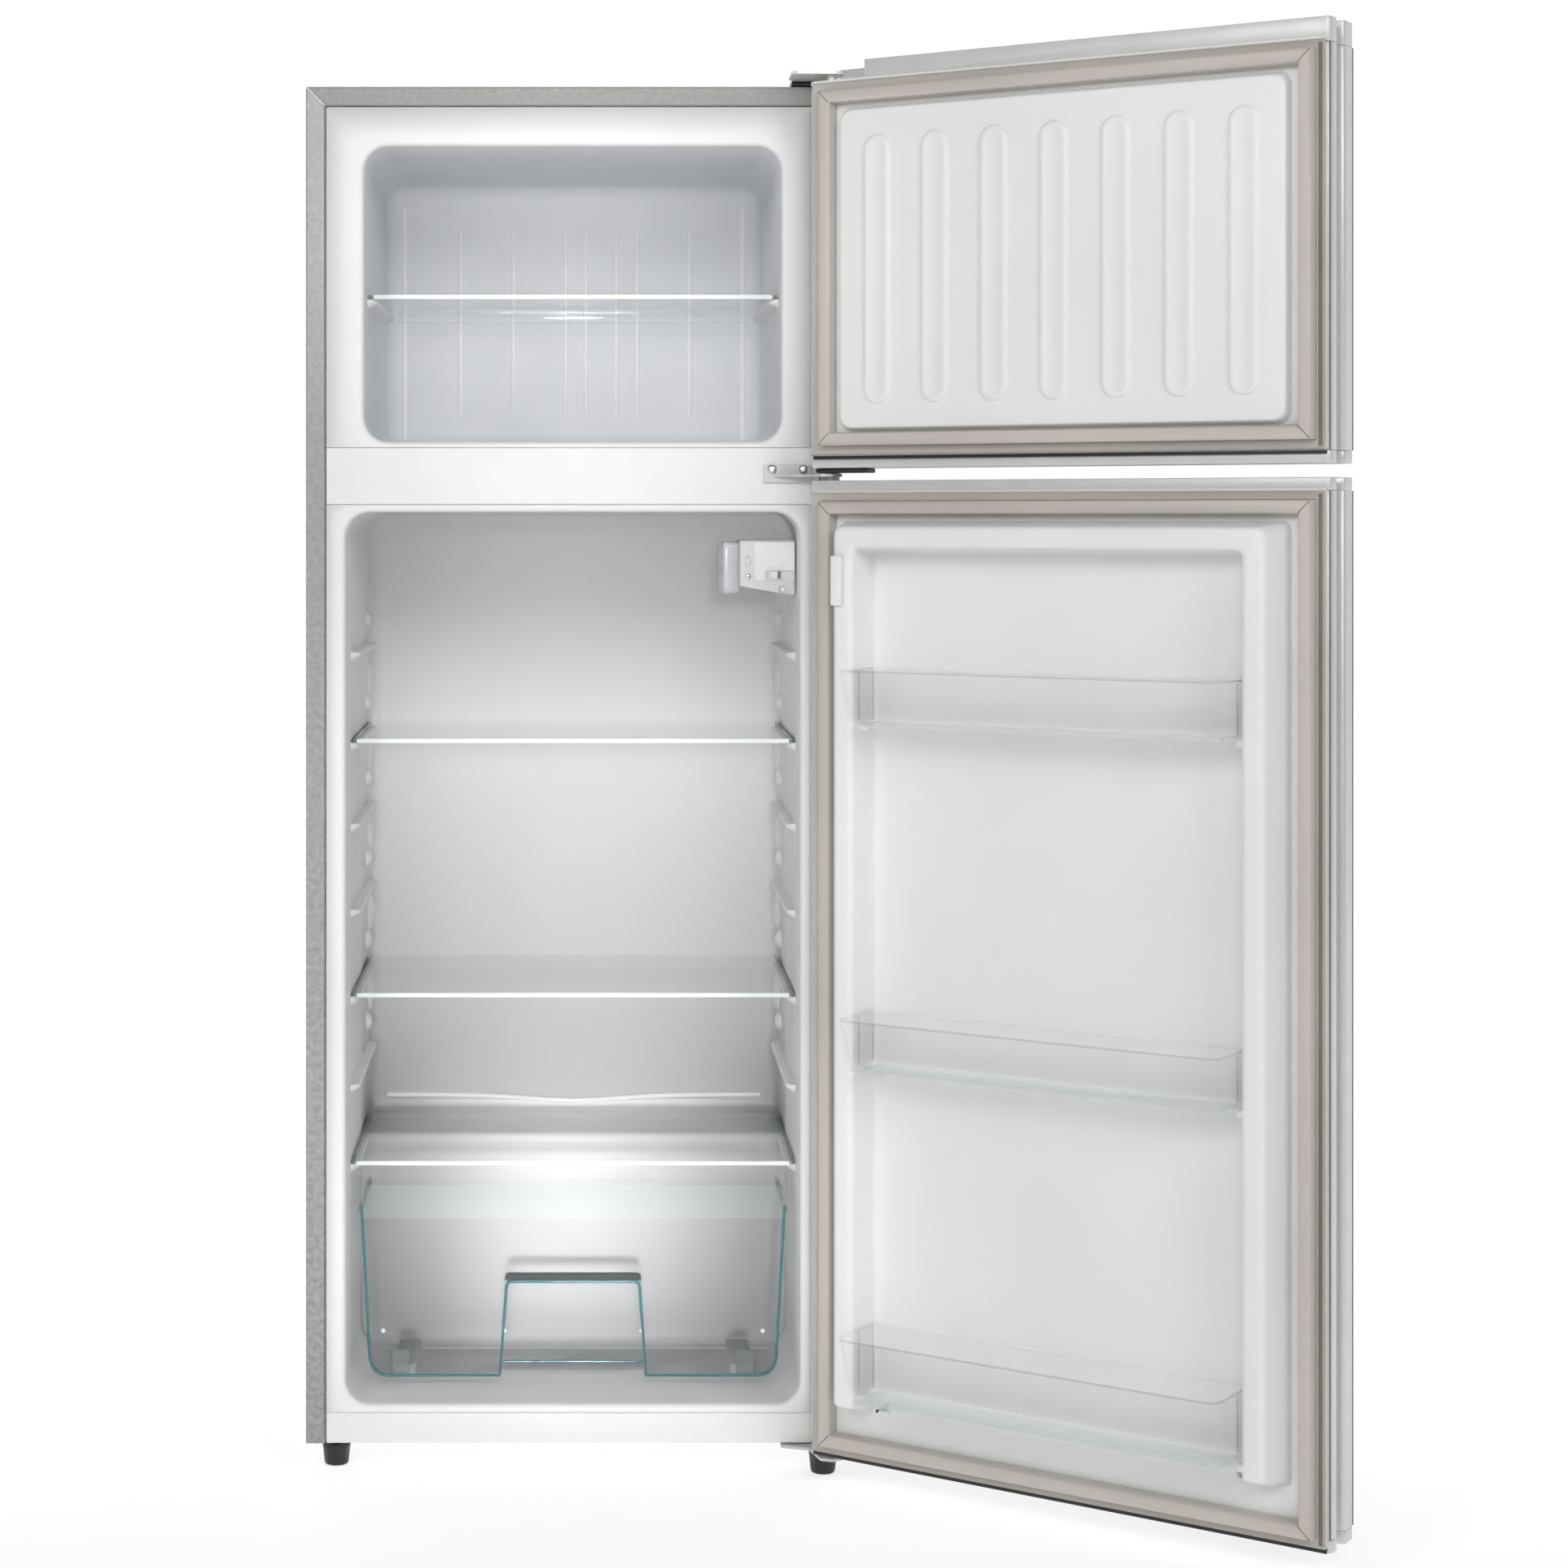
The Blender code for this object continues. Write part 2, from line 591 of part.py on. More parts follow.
# ---------------------------------------------------------------- hinges and feet
def build_hinges():
    """Three hinge brackets with their pins, and the screws that can be seen."""
    hx, hy = HINGE
    plate_z = (1.4200, 1.4230)
    outline = [(0.2240, 0.045), (0.2240, 0.002), (0.2200, -0.004), (0.2200, hy - 0.006), (0.2216, hy - 0.0105)]
    outline += [(0.2260, hy - 0.0135), (hx, hy - 0.0140), (hx + 0.0090, hy - 0.0100), (hx + 0.0128, hy - 0.002)]
    outline += [(hx + 0.0122, hy + 0.006), (0.2640, 0.010), (0.2620, 0.045)]
    holes = [(0.234, 0.035, 0.0025), (0.252, 0.035, 0.0025)]
    top = settle(outlined(outline, *plate_z, holes=holes), "top_hinge", "zinc")
    pin = rod((hx, hy, 1.4090), (hx, hy, plate_z[0] + 0.001), PIN_RADIUS)
    boolean(top, cutter(pin, "top_pin"), "UNION")
    spacer = box((0.2235, 0.004, TOP + GAP), (0.2630, 0.045, plate_z[0] - GAP))
    bevel(spacer, 0.002)
    settle(spacer, "top_hinge_spacer", "black_plastic")

    arm_z = (1.0155, 1.0185)
    outline = [(0.1990, -0.0018), (0.2460, -0.0018), (hx + 0.0112, hy + 0.008), (hx + 0.010, hy - 0.008)]
    outline += [(hx, hy - 0.013), (hx - 0.012, hy - 0.010), (0.2360, -0.0200)]
    middle = settle(outlined(outline, *arm_z), "middle_hinge", "zinc")
    face = [(0.1950, 1.0100), (0.2430, 1.0100), (0.2430, 1.0280), (0.1950, 1.0280)]
    holes = [(0.2030, 1.0235, 0.0024), (0.2350, 1.0235, 0.0024)]
    plate = outlined(face, -0.0042, -0.0015, holes=holes, up=(0, 1, 0))
    boolean(middle, cutter(plate, "middle_plate"), "UNION")
    boolean(middle, cutter(rod((hx, hy, 1.0010), (hx, hy, 1.0340), PIN_RADIUS), "middle_pin"), "UNION")

    low_z = (0.0265, 0.0295)
    outline = [(0.2120, 0.060), (0.2120, -0.004), (0.2400, -0.014), (hx - 0.012, hy - 0.010)]
    outline += [(hx, hy - 0.014), (hx + 0.011, hy - 0.008), (0.2720, -0.010), (0.2720, 0.060)]
    bottom = settle(outlined(outline, *low_z), "bottom_hinge", "zinc")
    boolean(bottom, cutter(rod((hx, hy, 0.0285), (hx, hy, 0.0440), PIN_RADIUS), "bottom_pin"), "UNION")

    head = [(0.0, 0.0022), (0.0025, 0.0019), (0.0045, 0.0008), (0.0045, 0.0)]
    head += [(0.0021, 0.0), (0.0021, -0.0018), (0.0, -0.0018)]
    for number, (x, y) in enumerate(((0.234, 0.035), (0.252, 0.035)), 1):
        settle_turned(head, (x, y, plate_z[1] + GAP), f"top_hinge_screw_{number}", "screw_steel", sides=14)
    for number, x in enumerate((0.2030, 0.2350), 1):
        place = (x, -0.0042 - GAP, 1.0235)
        screw = settle_turned(head, place, f"middle_hinge_screw_{number}", "screw_steel", sides=14)
        screw.rotation_euler = (math.pi / 2, 0.0, 0.0)


def build_front_feet():
    """Two screw feet: the right one hangs on the bottom hinge and stands further forward."""
    for name, x, y, high in (("left", -0.2436, 0.0350, 0.0302), ("right", 0.2554, 0.0050, 0.0262)):
        pad = [(0.0, high), (0.004, high), (0.004, 0.0225), (0.0145, 0.0225)]
        pad += [(0.0145, 0.018), (0.0125, 0.003), (0.011, 0.0), (0.0, 0.0)]
        settle_turned(pad, (x, y, 0.0), f"front_foot_{name}", "black_plastic", sides=20)


# ---------------------------------------------------------------- inside the cabinet
def glass_plate(name, half, front, back, z, material="glass"):
    plate = box((-half, front, z), (half, back, z + GLASS))
    settle(plate, name, material, origin=(0.0, front, z))
    bevel(plate, 0.0008, 1)
    return plate


def build_shelves():
    glass_plate("freezer_shelf", FREEZER_HALF - 0.0025, FREEZER_SHELF_FRONT, 0.360, FREEZER_SHELF_Z)
    half = FREEZER_HALF - 0.014
    z = FREEZER_SHELF_Z
    trim = box((-half, 0.3603, z - 0.006), (half, 0.3700, z + 0.012))
    bevel(trim, 0.002)
    settle(trim, "freezer_shelf_trim", "trim_white", origin=(0.0, 0.365, z))
    for name, z in zip(("shelf_upper", "shelf_lower"), SHELF_Z):
        glass_plate(name, SHELF_HALF, SHELF_FRONT, SHELF_BACK, z)
    glass_plate("crisper_cover", SHELF_HALF, SHELF_FRONT - 0.004, COVER_BACK, LEDGE_LEVELS[-1])


def crisper_body(inset):
    """The drawer's outer shape as a solid, or its inside when inset is its wall."""
    low, high = CRISPER_Z
    radius = 0.016 - inset
    slope = (CRISPER_HALF[1] - CRISPER_HALF[0]) / (high - low)
    top = high + (0.01 if inset else 0.0)

    def ring(y, shrink):
        base = low + inset + shrink
        half = CRISPER_HALF[0] - inset - shrink
        points = [(half + slope * (top - low), top), (-half - slope * (top - low), top)]
        for sign, start in ((-1, 180), (1, 270)):
            for i in range(4):
                a = math.radians(start + 30 * i)
                z = base + radius + radius * math.sin(a)
                points.append((sign * (half - radius) + radius * math.cos(a), z))
        return [(x, y, z) for x, z in points]

    front, back = CRISPER_FRONT + inset, CRISPER_BACK - inset
    return loft([ring(front, 0.0015), ring(front + 0.0015, 0.0), ring(back - 0.002, 0.0), ring(back, 0.002)])


def recess_block(grow):
    """The wedge that the drawer's front steps back around for the fingers."""
    low = CRISPER_Z[0]
    rows = []
    for y in (CRISPER_FRONT - 0.02, CRISPER_FRONT + 0.028 + grow):
        outline = [(-0.0755 - grow, low - 0.02), (0.0755 + grow, low - 0.02)]
        for sign in (1, -1):
            corner = [(0.0693, -0.005), (0.0680, -0.0015), (0.0645, 0.0)]
            for half, drop in corner[::sign]:
                outline.append((sign * (half + grow), 0.1783 + grow + drop))
        rows.append([(x, y, z) for x, z in outline])
    return loft(rows)


def build_crisper():
    """A clear drawer with sloping sides, a rolled rim and a finger recess in its front."""
    wall = 0.0025
    drawer = settle(crisper_body(0.0), "crisper_drawer", "clear_plastic")
    boolean(drawer, cutter(recess_block(0.0), "finger_recess"), "DIFFERENCE")
    half = CRISPER_HALF[1] + 0.0022
    rim = box((-half, CRISPER_FRONT + 0.006, 0.2500), (half, CRISPER_BACK + 0.002, 0.2535))
    boolean(drawer, cutter(rim, "crisper_rim"), "UNION")
    inside = cutter(crisper_body(wall), "crisper_inside")
    boolean(inside, cutter(recess_block(wall), "finger_recess_inside"), "DIFFERENCE")
    boolean(drawer, inside, "DIFFERENCE")


HOUSING = ((0.1723, 0.050, 0.893), (0.2312, 0.150, 0.951))
SLOT = ((0.198, 0.908), (0.227, 0.922))
KNOB = (0.2125, 0.0620, 0.9150)
SWITCH = (0.2165, 0.9005)


def build_thermostat():
    """The control box on the right wall: housing, lamp cover, bulb, dial and door switch."""
    (x0, y0, z0), (x1, y1, z1) = HOUSING
    wall = 0.002
    housing = box(*HOUSING)
    bevel(housing, 0.003)
    settle(housing, "thermostat_housing", "trim_white")
    hollow = box((x0 + wall, y0 + wall, z0 + wall), (x1 + 0.01, y1 - wall, z1 - wall))
    boolean(housing, cutter(hollow, "housing_inside"), "DIFFERENCE")
    slot = box((SLOT[0][0], y0 - 0.01, SLOT[0][1]), (SLOT[1][0], y0 + wall + 0.001, SLOT[1][1]))
    boolean(housing, cutter(slot, "dial_slot"), "DIFFERENCE")
    bore = rod((SWITCH[0], y0 - 0.01, SWITCH[1]), (SWITCH[0], y0 + wall + 0.001, SWITCH[1]), 0.0034, 16)
    boolean(housing, cutter(bore, "switch_bore"), "DIFFERENCE")
    for number in range(4):
        z = z0 + 0.014 + 0.010 * number
        vent = rod((x0 + 0.009, y0 - 0.01, z), (x0 + 0.009, y0 + wall + 0.001, z), 0.0024, 10)
        boolean(housing, cutter(vent, f"vent_{number + 1}"), "DIFFERENCE")

    half = (z1 - z0) / 2 - 0.002
    middle = (z0 + z1) / 2
    depth = (y1 - y0) / 2 - 0.002
    centre = (y0 + y1) / 2

    def ring(inset, x):
        points = round_rectangle(depth - inset, -half + inset, half - inset, 0.006, 2)
        return [(x, a + centre, b + middle) for a, b in points]

    cover = loft([ring(0.0, x0 - GAP), ring(0.0, x0 - 0.012), ring(0.004, x0 - 0.017)], front_cap=False)
    outward(cover, (x0 - 0.017, centre, middle), (-1, 0, 0))
    settle(cover, "lamp_cover", "lamp_plastic")
    solidify(cover, 0.0013)

    bulb = [(0.0, 0.046), (0.004, 0.0445), (0.0062, 0.040), (0.0062, 0.018)]
    bulb += [(0.0045, 0.012), (0.0045, 0.0), (0.0, 0.0)]
    lamp = settle_turned(bulb, (x0 - 0.0085, y0 + 0.075, middle), "lamp_bulb", "lamp_glass", sides=14)
    lamp.rotation_euler = (math.pi / 2, 0.0, 0.0)

    dial = [(0.0, 0.004), (0.0125, 0.004), (0.0130, 0.0035)]
    dial += [(0.0130, -0.0035), (0.0125, -0.004), (0.0, -0.004)]
    knob = settle_turned(dial, KNOB, "thermostat_knob", "trim_white", sides=28)
    rib = box((-0.001, -0.0140, -0.003), (0.001, -0.0110, 0.003))
    rib.data.transform(Matrix.Translation(KNOB))
    boolean(knob, cutter(rib, "dial_pointer"), "UNION")

    tip = [(0.0, 0.017), (0.0022, 0.0165), (0.0030, 0.015), (0.0030, 0.0), (0.0, 0.0)]
    place = (SWITCH[0], 0.0485, SWITCH[1])
    plunger = settle_turned(tip, place, "door_switch_plunger", "trim_white", sides=16)
    plunger.rotation_euler = (math.pi / 2, 0.0, 0.0)


# ---------------------------------------------------------------- doors
def door_ring(z, inset, height, radius, top=None, base=None, foot=None):
    """A rounded rectangle set in from the seal's frame, at a height above the door's inner plane.

    top and base are the insets along the upper and lower sides where they differ; foot is the level below
    which the height fades out.
    """
    half = WIDTH / 2 - inset
    top = inset if top is None else top
    base = inset if base is None else base
    outline = round_rectangle(half, z[0] + base, z[1] - top, radius, 2)
    if foot:
        levels = (foot, foot + 0.003, foot + 0.009)
        outline = outline[:3] + [(half, level) for level in levels] + outline[3:]
        outline = outline[:12] + [(-half, level) for level in levels[::-1]] + outline[12:]

    def lift(level):
        if not foot:
            return height
        share = (level - foot) / 0.009
        return height * max(0.0, min(1.0, 1.4 * share if share < 0.5 else 0.6 + 0.4 * share))

    return [(x, DOOR_INNER + lift(zz), zz) for x, zz in outline]


def build_door_skin(name, z, caps, parent):
    """The painted sheet that wraps the door's front and hinge side, and the foam behind it."""
    half = WIDTH / 2
    low, high = z[0] + caps[0] + GAP, z[1] - caps[1] - GAP
    path = [(half, DOOR_INNER - 0.0025), (half, DOOR_OUTER), (-half + GRIP + GAP, DOOR_OUTER)]
    rows = [[(x, y, zz) for x, y in path] for zz in (low, high)]
    skin = folded_sheet(rows, name + "_skin", "door_paint", SHEET, 0.006, parent)
    outward(skin, (0, DOOR_OUTER, high), (0, -1, 0))
    low_corner = (-half + GRIP + 2 * GAP, DOOR_OUTER + SHEET + GAP, low)
    high_corner = (half - 0.0075, DOOR_INNER - LINER - 0.0020, high)
    settle(box(low_corner, high_corner), name + "_foam", "foam", parent)


def build_grip(name, z, caps, parent):
    """The side profile at the door's free edge, with its long finger groove."""
    edge = -WIDTH / 2
    y0, y1 = DOOR_OUTER, DOOR_INNER - 0.0025
    outline = [
        (edge + GRIP, y0), (edge + 0.006, y0), (edge + 0.001, y0 + 0.003), (edge, y0 + 0.008),
        (edge, y0 + 0.0235), (edge + 0.003, y0 + 0.0255), (edge + 0.012, y0 + 0.026),
        (edge + 0.014, y0 + 0.0285), (edge + 0.014, y0 + 0.0385),
        (edge + 0.012, y0 + 0.041), (edge + 0.003, y0 + 0.0415), (edge, y0 + 0.0435), (edge, y1 - 0.002),
        (edge + 0.002, y1), (edge + GRIP, y1),
    ]
    profile = outlined(outline, z[0] + caps[0] + GAP, z[1] - caps[1] - GAP)
    settle(profile, name + "_grip", "cap_grey", parent)


def build_caps(name, z, caps, parent):
    """The moulded caps that close the door's top and bottom, bored for the hinge pins."""
    half = WIDTH / 2
    for end, low, high in (("top", z[1] - caps[1], z[1]), ("bottom", z[0], z[0] + caps[0])):
        clear = name == "freezer_door" and end == "top"
        inner = DOOR_INNER - (0.0 if clear else LINER + GAP)
        outline = [(-half, DOOR_OUTER + 0.006), (-half + 0.006, DOOR_OUTER), (half - 0.006, DOOR_OUTER)]
        outline += [(half, DOOR_OUTER + 0.006), (half, inner), (-half, inner)]
        cap = settle(outlined(outline, low, high), f"{name}_cap_{end}", "cap_grey", parent)
        if clear:
            floor = (half - 0.062, DOOR_OUTER + 0.004, low + 0.0045)
            notch = box(floor, (half + 0.01, inner + 0.01, high + 0.01))
            boolean(cap, cutter(notch, "hinge_notch", parent), "DIFFERENCE")
        if name == "freezer_door" and end == "bottom":
            under = (half - 0.056, HINGE[1] - 0.012, low - 0.0048)
            stop = box(under, (half - 0.002, inner - 0.004, low + 0.001))
            boolean(cap, cutter(stop, "door_stop", parent), "UNION")
        bore = rod((*HINGE, low - 0.010), (*HINGE, high + 0.010), PIN_RADIUS + 0.0004)
        boolean(cap, cutter(bore, f"{name}_{end}_bore", parent), "DIFFERENCE")


def build_gasket(name, seal, parent):
    """The magnetic seal: a soft square section that runs round the door with mitred corners."""
    inner = GASKET_EDGE + GASKET_WIDE
    section = [
        (GASKET_EDGE, GAP), (GASKET_EDGE, 0.010), (GASKET_EDGE + 0.004, GASKET_HIGH),
        (inner - 0.004, GASKET_HIGH), (inner, 0.010), (inner, GAP),
    ]
    rings = []
    for inset, height in section + section[:1]:
        half = WIDTH / 2 - inset
        low, high = seal[0] + inset, seal[1] - inset
        y = DOOR_INNER + height
        rings.append([(half, y, low), (half, y, high), (-half, y, high), (-half, y, low)])
    seal = loft(rings, front_cap=False, back_cap=False)
    bm = bmesh.new()
    bm.from_mesh(seal.data)
    bmesh.ops.remove_doubles(bm, verts=bm.verts, dist=0.00001)
    bmesh.ops.recalc_face_normals(bm, faces=bm.faces)
    bm.to_mesh(seal.data)
    bm.free()
    settle(seal, name + "_gasket", "gasket", parent)


def liner_sheet(rings, name, parent):
    """A door liner: a sheet through the rings, closed across its middle and thickened forward."""
    sheet = loft(rings, front_cap=False)
    outward(sheet, (0, DOOR_INNER, 0.5 * (rings[0][0][2] + rings[0][-8][2])), (0, 1, 0))
    settle(sheet, name, "liner_white", parent)
    solidify(sheet, LINER)
    return sheet


def build_freezer_door_liner(z):
    """A shallow panel with seven upright rounded ribs."""
    rings = [
        door_ring(z, 0.0035, 0.0, 0.004),
        door_ring(z, 0.0365, 0.0, 0.012),
        door_ring(z, 0.0400, PANEL_HIGH, 0.012),
    ]
    liner = liner_sheet(rings, "freezer_door_liner", FREEZER_DOOR)
    y = DOOR_INNER + PANEL_HIGH
    for number in range(7):
        x = 0.1905 - 0.0640 * number
        radius = 0.0150
        low, high = z[0] + 0.0555, z[1] - 0.0575
        points = []
        for i in range(9):
            a = math.pi * i / 8
            points.append((x + radius * math.cos(a), high - radius + radius * math.sin(a)))
        for i in range(9):
            a = math.pi + math.pi * i / 8
            points.append((x + radius * math.cos(a), low + radius + radius * math.sin(a)))
        rib = outlined(points, y - 0.0008, y + 0.0030, up=(0, 1, 0))
        boolean(liner, cutter(rib, f"door_rib_{number + 1}", FREEZER_DOOR), "UNION")


def build_fridge_door_liner(z):
    """A liner with a raised dyke round a flat recess, and lugs that hold the bins."""
    steps = [
        (0.0035, 0.0, 0.004, 0.0035, 0.0035),
        (0.0365, 0.0, 0.008, 0.0345, 0.0365),
        (0.0385, 0.006, 0.009, 0.0355, 0.0380),
        (0.0480, DYKE_HIGH - 0.003, 0.009, 0.0395, 0.0395),
        (0.0520, DYKE_HIGH, 0.008, 0.0420, 0.0410),
        (0.0660, DYKE_HIGH, 0.007, 0.0580, 0.0425),
        (0.0700, DYKE_HIGH - 0.003, 0.006, 0.0610, 0.0440),
        (0.0735, 0.0, 0.005, 0.0645, 0.0455),
    ]
    rings = [door_ring(z, *step, DYKE_FOOT) for step in steps]
    liner = liner_sheet(rings, "fridge_door_liner", FRIDGE_DOOR)
    wall = WIDTH / 2 - 0.0712
    for shelf, (low, _) in BINS.items():
        for side in (-1, 1):
            reach = sorted((side * (wall + 0.0004), side * (wall - 0.0090)))
            lug = box((reach[0], DOOR_INNER + 0.014, low - 0.008), (reach[1], DOOR_INNER + 0.026, low - GAP))
            name = f"lug_{shelf}_{'left' if side < 0 else 'right'}"
            boolean(liner, cutter(lug, name, FRIDGE_DOOR), "UNION")


def build_bin(shelf, low, high):
    """A clear open bin with a sloping front and rounded front corners."""
    back = DOOR_INNER + 0.004

    def ring(z, draw):
        half = BIN_HALF - draw
        front = DOOR_INNER + BIN_DEPTH - draw - BIN_DRAFT * (high - z)
        radius = 0.014
        points = [(-half, back), (half, back)]
        for sign, start in ((1, 0), (-1, 90)):
            for i in range(4):
                a = math.radians(start + 30 * i)
                y = front - radius + radius * math.sin(a)
                points.append((sign * (half - radius) + radius * math.cos(a), y))
        return [(x, y, z) for x, y in points]

    shell = loft([ring(low, 0.004), ring(low + 0.004, 0.001), ring(high, 0.0)], back_cap=False)
    outward(shell, (0, (back + DOOR_INNER + BIN_DEPTH) / 2, low), (0, 0, -1))
    settle(shell, f"door_bin_{shelf}", "clear_plastic", FRIDGE_DOOR, origin=(0.0, back, low))
    solidify(shell, 0.002)


def build_striker():
    """The pad on the fridge door that faces the door switch."""
    y = DOOR_INNER + DYKE_HIGH
    pad = box((0.2075, y + GAP, 0.8880), (0.2205, y + 0.0072, 0.9370))
    bevel(pad, 0.0015)
    settle(pad, "switch_striker", "trim_white", FRIDGE_DOOR)


def build_door(name, z, seal, caps, parent):
    build_door_skin(name, z, caps, parent)
    build_grip(name, z, caps, parent)
    build_caps(name, z, caps, parent)
    build_gasket(name, seal, parent)


def build_all():
    build_outer_cabinet()
    build_back_panel()
    build_base()
    build_freezer_liner()
    build_fridge_liner()
    build_foam()
    build_front_trims()
    build_compressor()
    build_bay_pieces()
    build_condenser()
    build_hinges()
    build_front_feet()
    build_shelves()
    build_crisper()
    build_thermostat()
    build_door("freezer_door", FREEZER_DOOR_Z, FREEZER_SEAL_Z, FREEZER_CAPS, FREEZER_DOOR)
    build_freezer_door_liner(FREEZER_SEAL_Z)
    build_door("fridge_door", FRIDGE_DOOR_Z, FRIDGE_SEAL_Z, FRIDGE_CAPS, FRIDGE_DOOR)
    build_fridge_door_liner(FRIDGE_SEAL_Z)
    for shelf, (low, high) in BINS.items():
        build_bin(shelf, low, high)
    build_striker()


build_all()
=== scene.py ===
"""Looks of the top freezer refrigerator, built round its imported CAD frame.

Metres, +X to the right, +Y to the back, +Z up. Pieces are drawn in the cabinet frame, whose origin is the
middle of the cabinet's front face at floor level; a door's pieces are drawn shut and then turned open.
"""

import json
import math

import bmesh
import bpy
from mathutils import Matrix, Vector

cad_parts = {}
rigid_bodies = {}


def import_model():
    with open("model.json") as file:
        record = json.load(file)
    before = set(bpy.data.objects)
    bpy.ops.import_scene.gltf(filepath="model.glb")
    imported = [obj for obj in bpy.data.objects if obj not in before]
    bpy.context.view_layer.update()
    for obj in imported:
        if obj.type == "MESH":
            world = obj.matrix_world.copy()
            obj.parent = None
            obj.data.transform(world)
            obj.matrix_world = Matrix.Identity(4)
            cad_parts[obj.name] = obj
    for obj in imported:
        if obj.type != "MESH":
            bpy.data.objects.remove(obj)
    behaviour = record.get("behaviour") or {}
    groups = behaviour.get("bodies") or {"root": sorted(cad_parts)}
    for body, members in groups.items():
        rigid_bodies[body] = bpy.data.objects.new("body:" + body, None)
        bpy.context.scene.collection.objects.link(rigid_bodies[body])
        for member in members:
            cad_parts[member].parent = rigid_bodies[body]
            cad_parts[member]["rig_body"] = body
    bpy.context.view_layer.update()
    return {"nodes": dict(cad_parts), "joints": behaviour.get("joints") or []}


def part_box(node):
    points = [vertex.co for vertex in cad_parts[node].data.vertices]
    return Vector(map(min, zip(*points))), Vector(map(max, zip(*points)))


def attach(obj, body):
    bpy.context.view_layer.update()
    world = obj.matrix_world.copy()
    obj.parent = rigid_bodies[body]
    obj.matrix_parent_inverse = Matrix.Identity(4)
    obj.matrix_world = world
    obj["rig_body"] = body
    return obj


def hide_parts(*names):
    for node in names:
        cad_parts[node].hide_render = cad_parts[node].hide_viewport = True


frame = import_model()
NODES = frame["nodes"]

# ---------------------------------------------------------------- the frame's own sizes
shell_low, shell_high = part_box("outer_cabinet")
HALF = (shell_high.x - shell_low.x) / 2
DEPTH = shell_high.y - shell_low.y
TOP, BOTTOM = shell_high.z, shell_low.z
CABINET = Matrix.Translation(((shell_low.x + shell_high.x) / 2, shell_low.y, 0.0))
door_joint = next(j for j in frame["joints"] if j["name"] == "fridge_door_hinge")
pivot = Vector((*door_joint["pos_m"][:2], 0.0))
swing = Matrix.Rotation(math.radians(-door_joint["range_deg"][0]), 4, "Z")
OPENED = Matrix.Translation(pivot) @ swing @ Matrix.Translation(-pivot) @ CABINET
HINGE = CABINET.inverted() @ pivot
DOOR_BODIES = ("freezer_door", "fridge_door", "bin_upper", "bin_middle", "bin_lower")


def local_box(node):
    """Lowest and highest corner of a CAD node in the cabinet frame, with a door's node taken back to shut."""
    body = NODES[node]["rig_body"]
    back = (OPENED if body in DOOR_BODIES else CABINET).inverted()
    points = [back @ v.co for v in NODES[node].data.vertices]
    return [Vector(pick(p[i] for p in points) for i in range(3)) for pick in (min, max)]


SHEET, LINER = 0.001, 0.0015  # thickness of the painted steel and of the moulded sheets
PANEL_MARGIN = 0.0035  # from a door liner's edge to the door's own
GASKET_SHIFT = 0.0035  # how much further out a gasket lies on the door's free side
FLANGE = 0.02
DOOR_OUTER = local_box("fridge_door_skin")[0].y
DOOR_INNER = local_box("fridge_door_skin")[1].y + 0.0025
FREEZER_BACK = FRIDGE_BACK = 0.4
FREEZER_HALF, FRIDGE_HALF = 0.213, 0.232
FREEZER_Z, FRIDGE_Z = (1.052, 1.3535), (0.07, 0.98)
STEP_FRONT, STEP_TOP = 0.235, 0.3
LEDGES = (0.834, 0.7396, 0.655, 0.565, 0.4746, 0.383, 0.3003)
PANEL_HIGH, DYKE_HIGH, DYKE_FOOT, DYKE_TURN = 0.01, 0.04, 0.0905, 0.012
DRAWER_LOW, DRAWER_HIGH = local_box("crisper_drawer")
DRAWER_HALF, DRAWER_RIM_HALF, DRAWER_WALL = 0.2125, 0.2232, 0.0025
DRAWER_SLOPE = (DRAWER_RIM_HALF - DRAWER_HALF) / (DRAWER_HIGH.z - DRAWER_LOW.z)
RECESS_FOOT, RECESS_HEAD, RECESS_TOP = 0.0755, 0.069, 0.1783


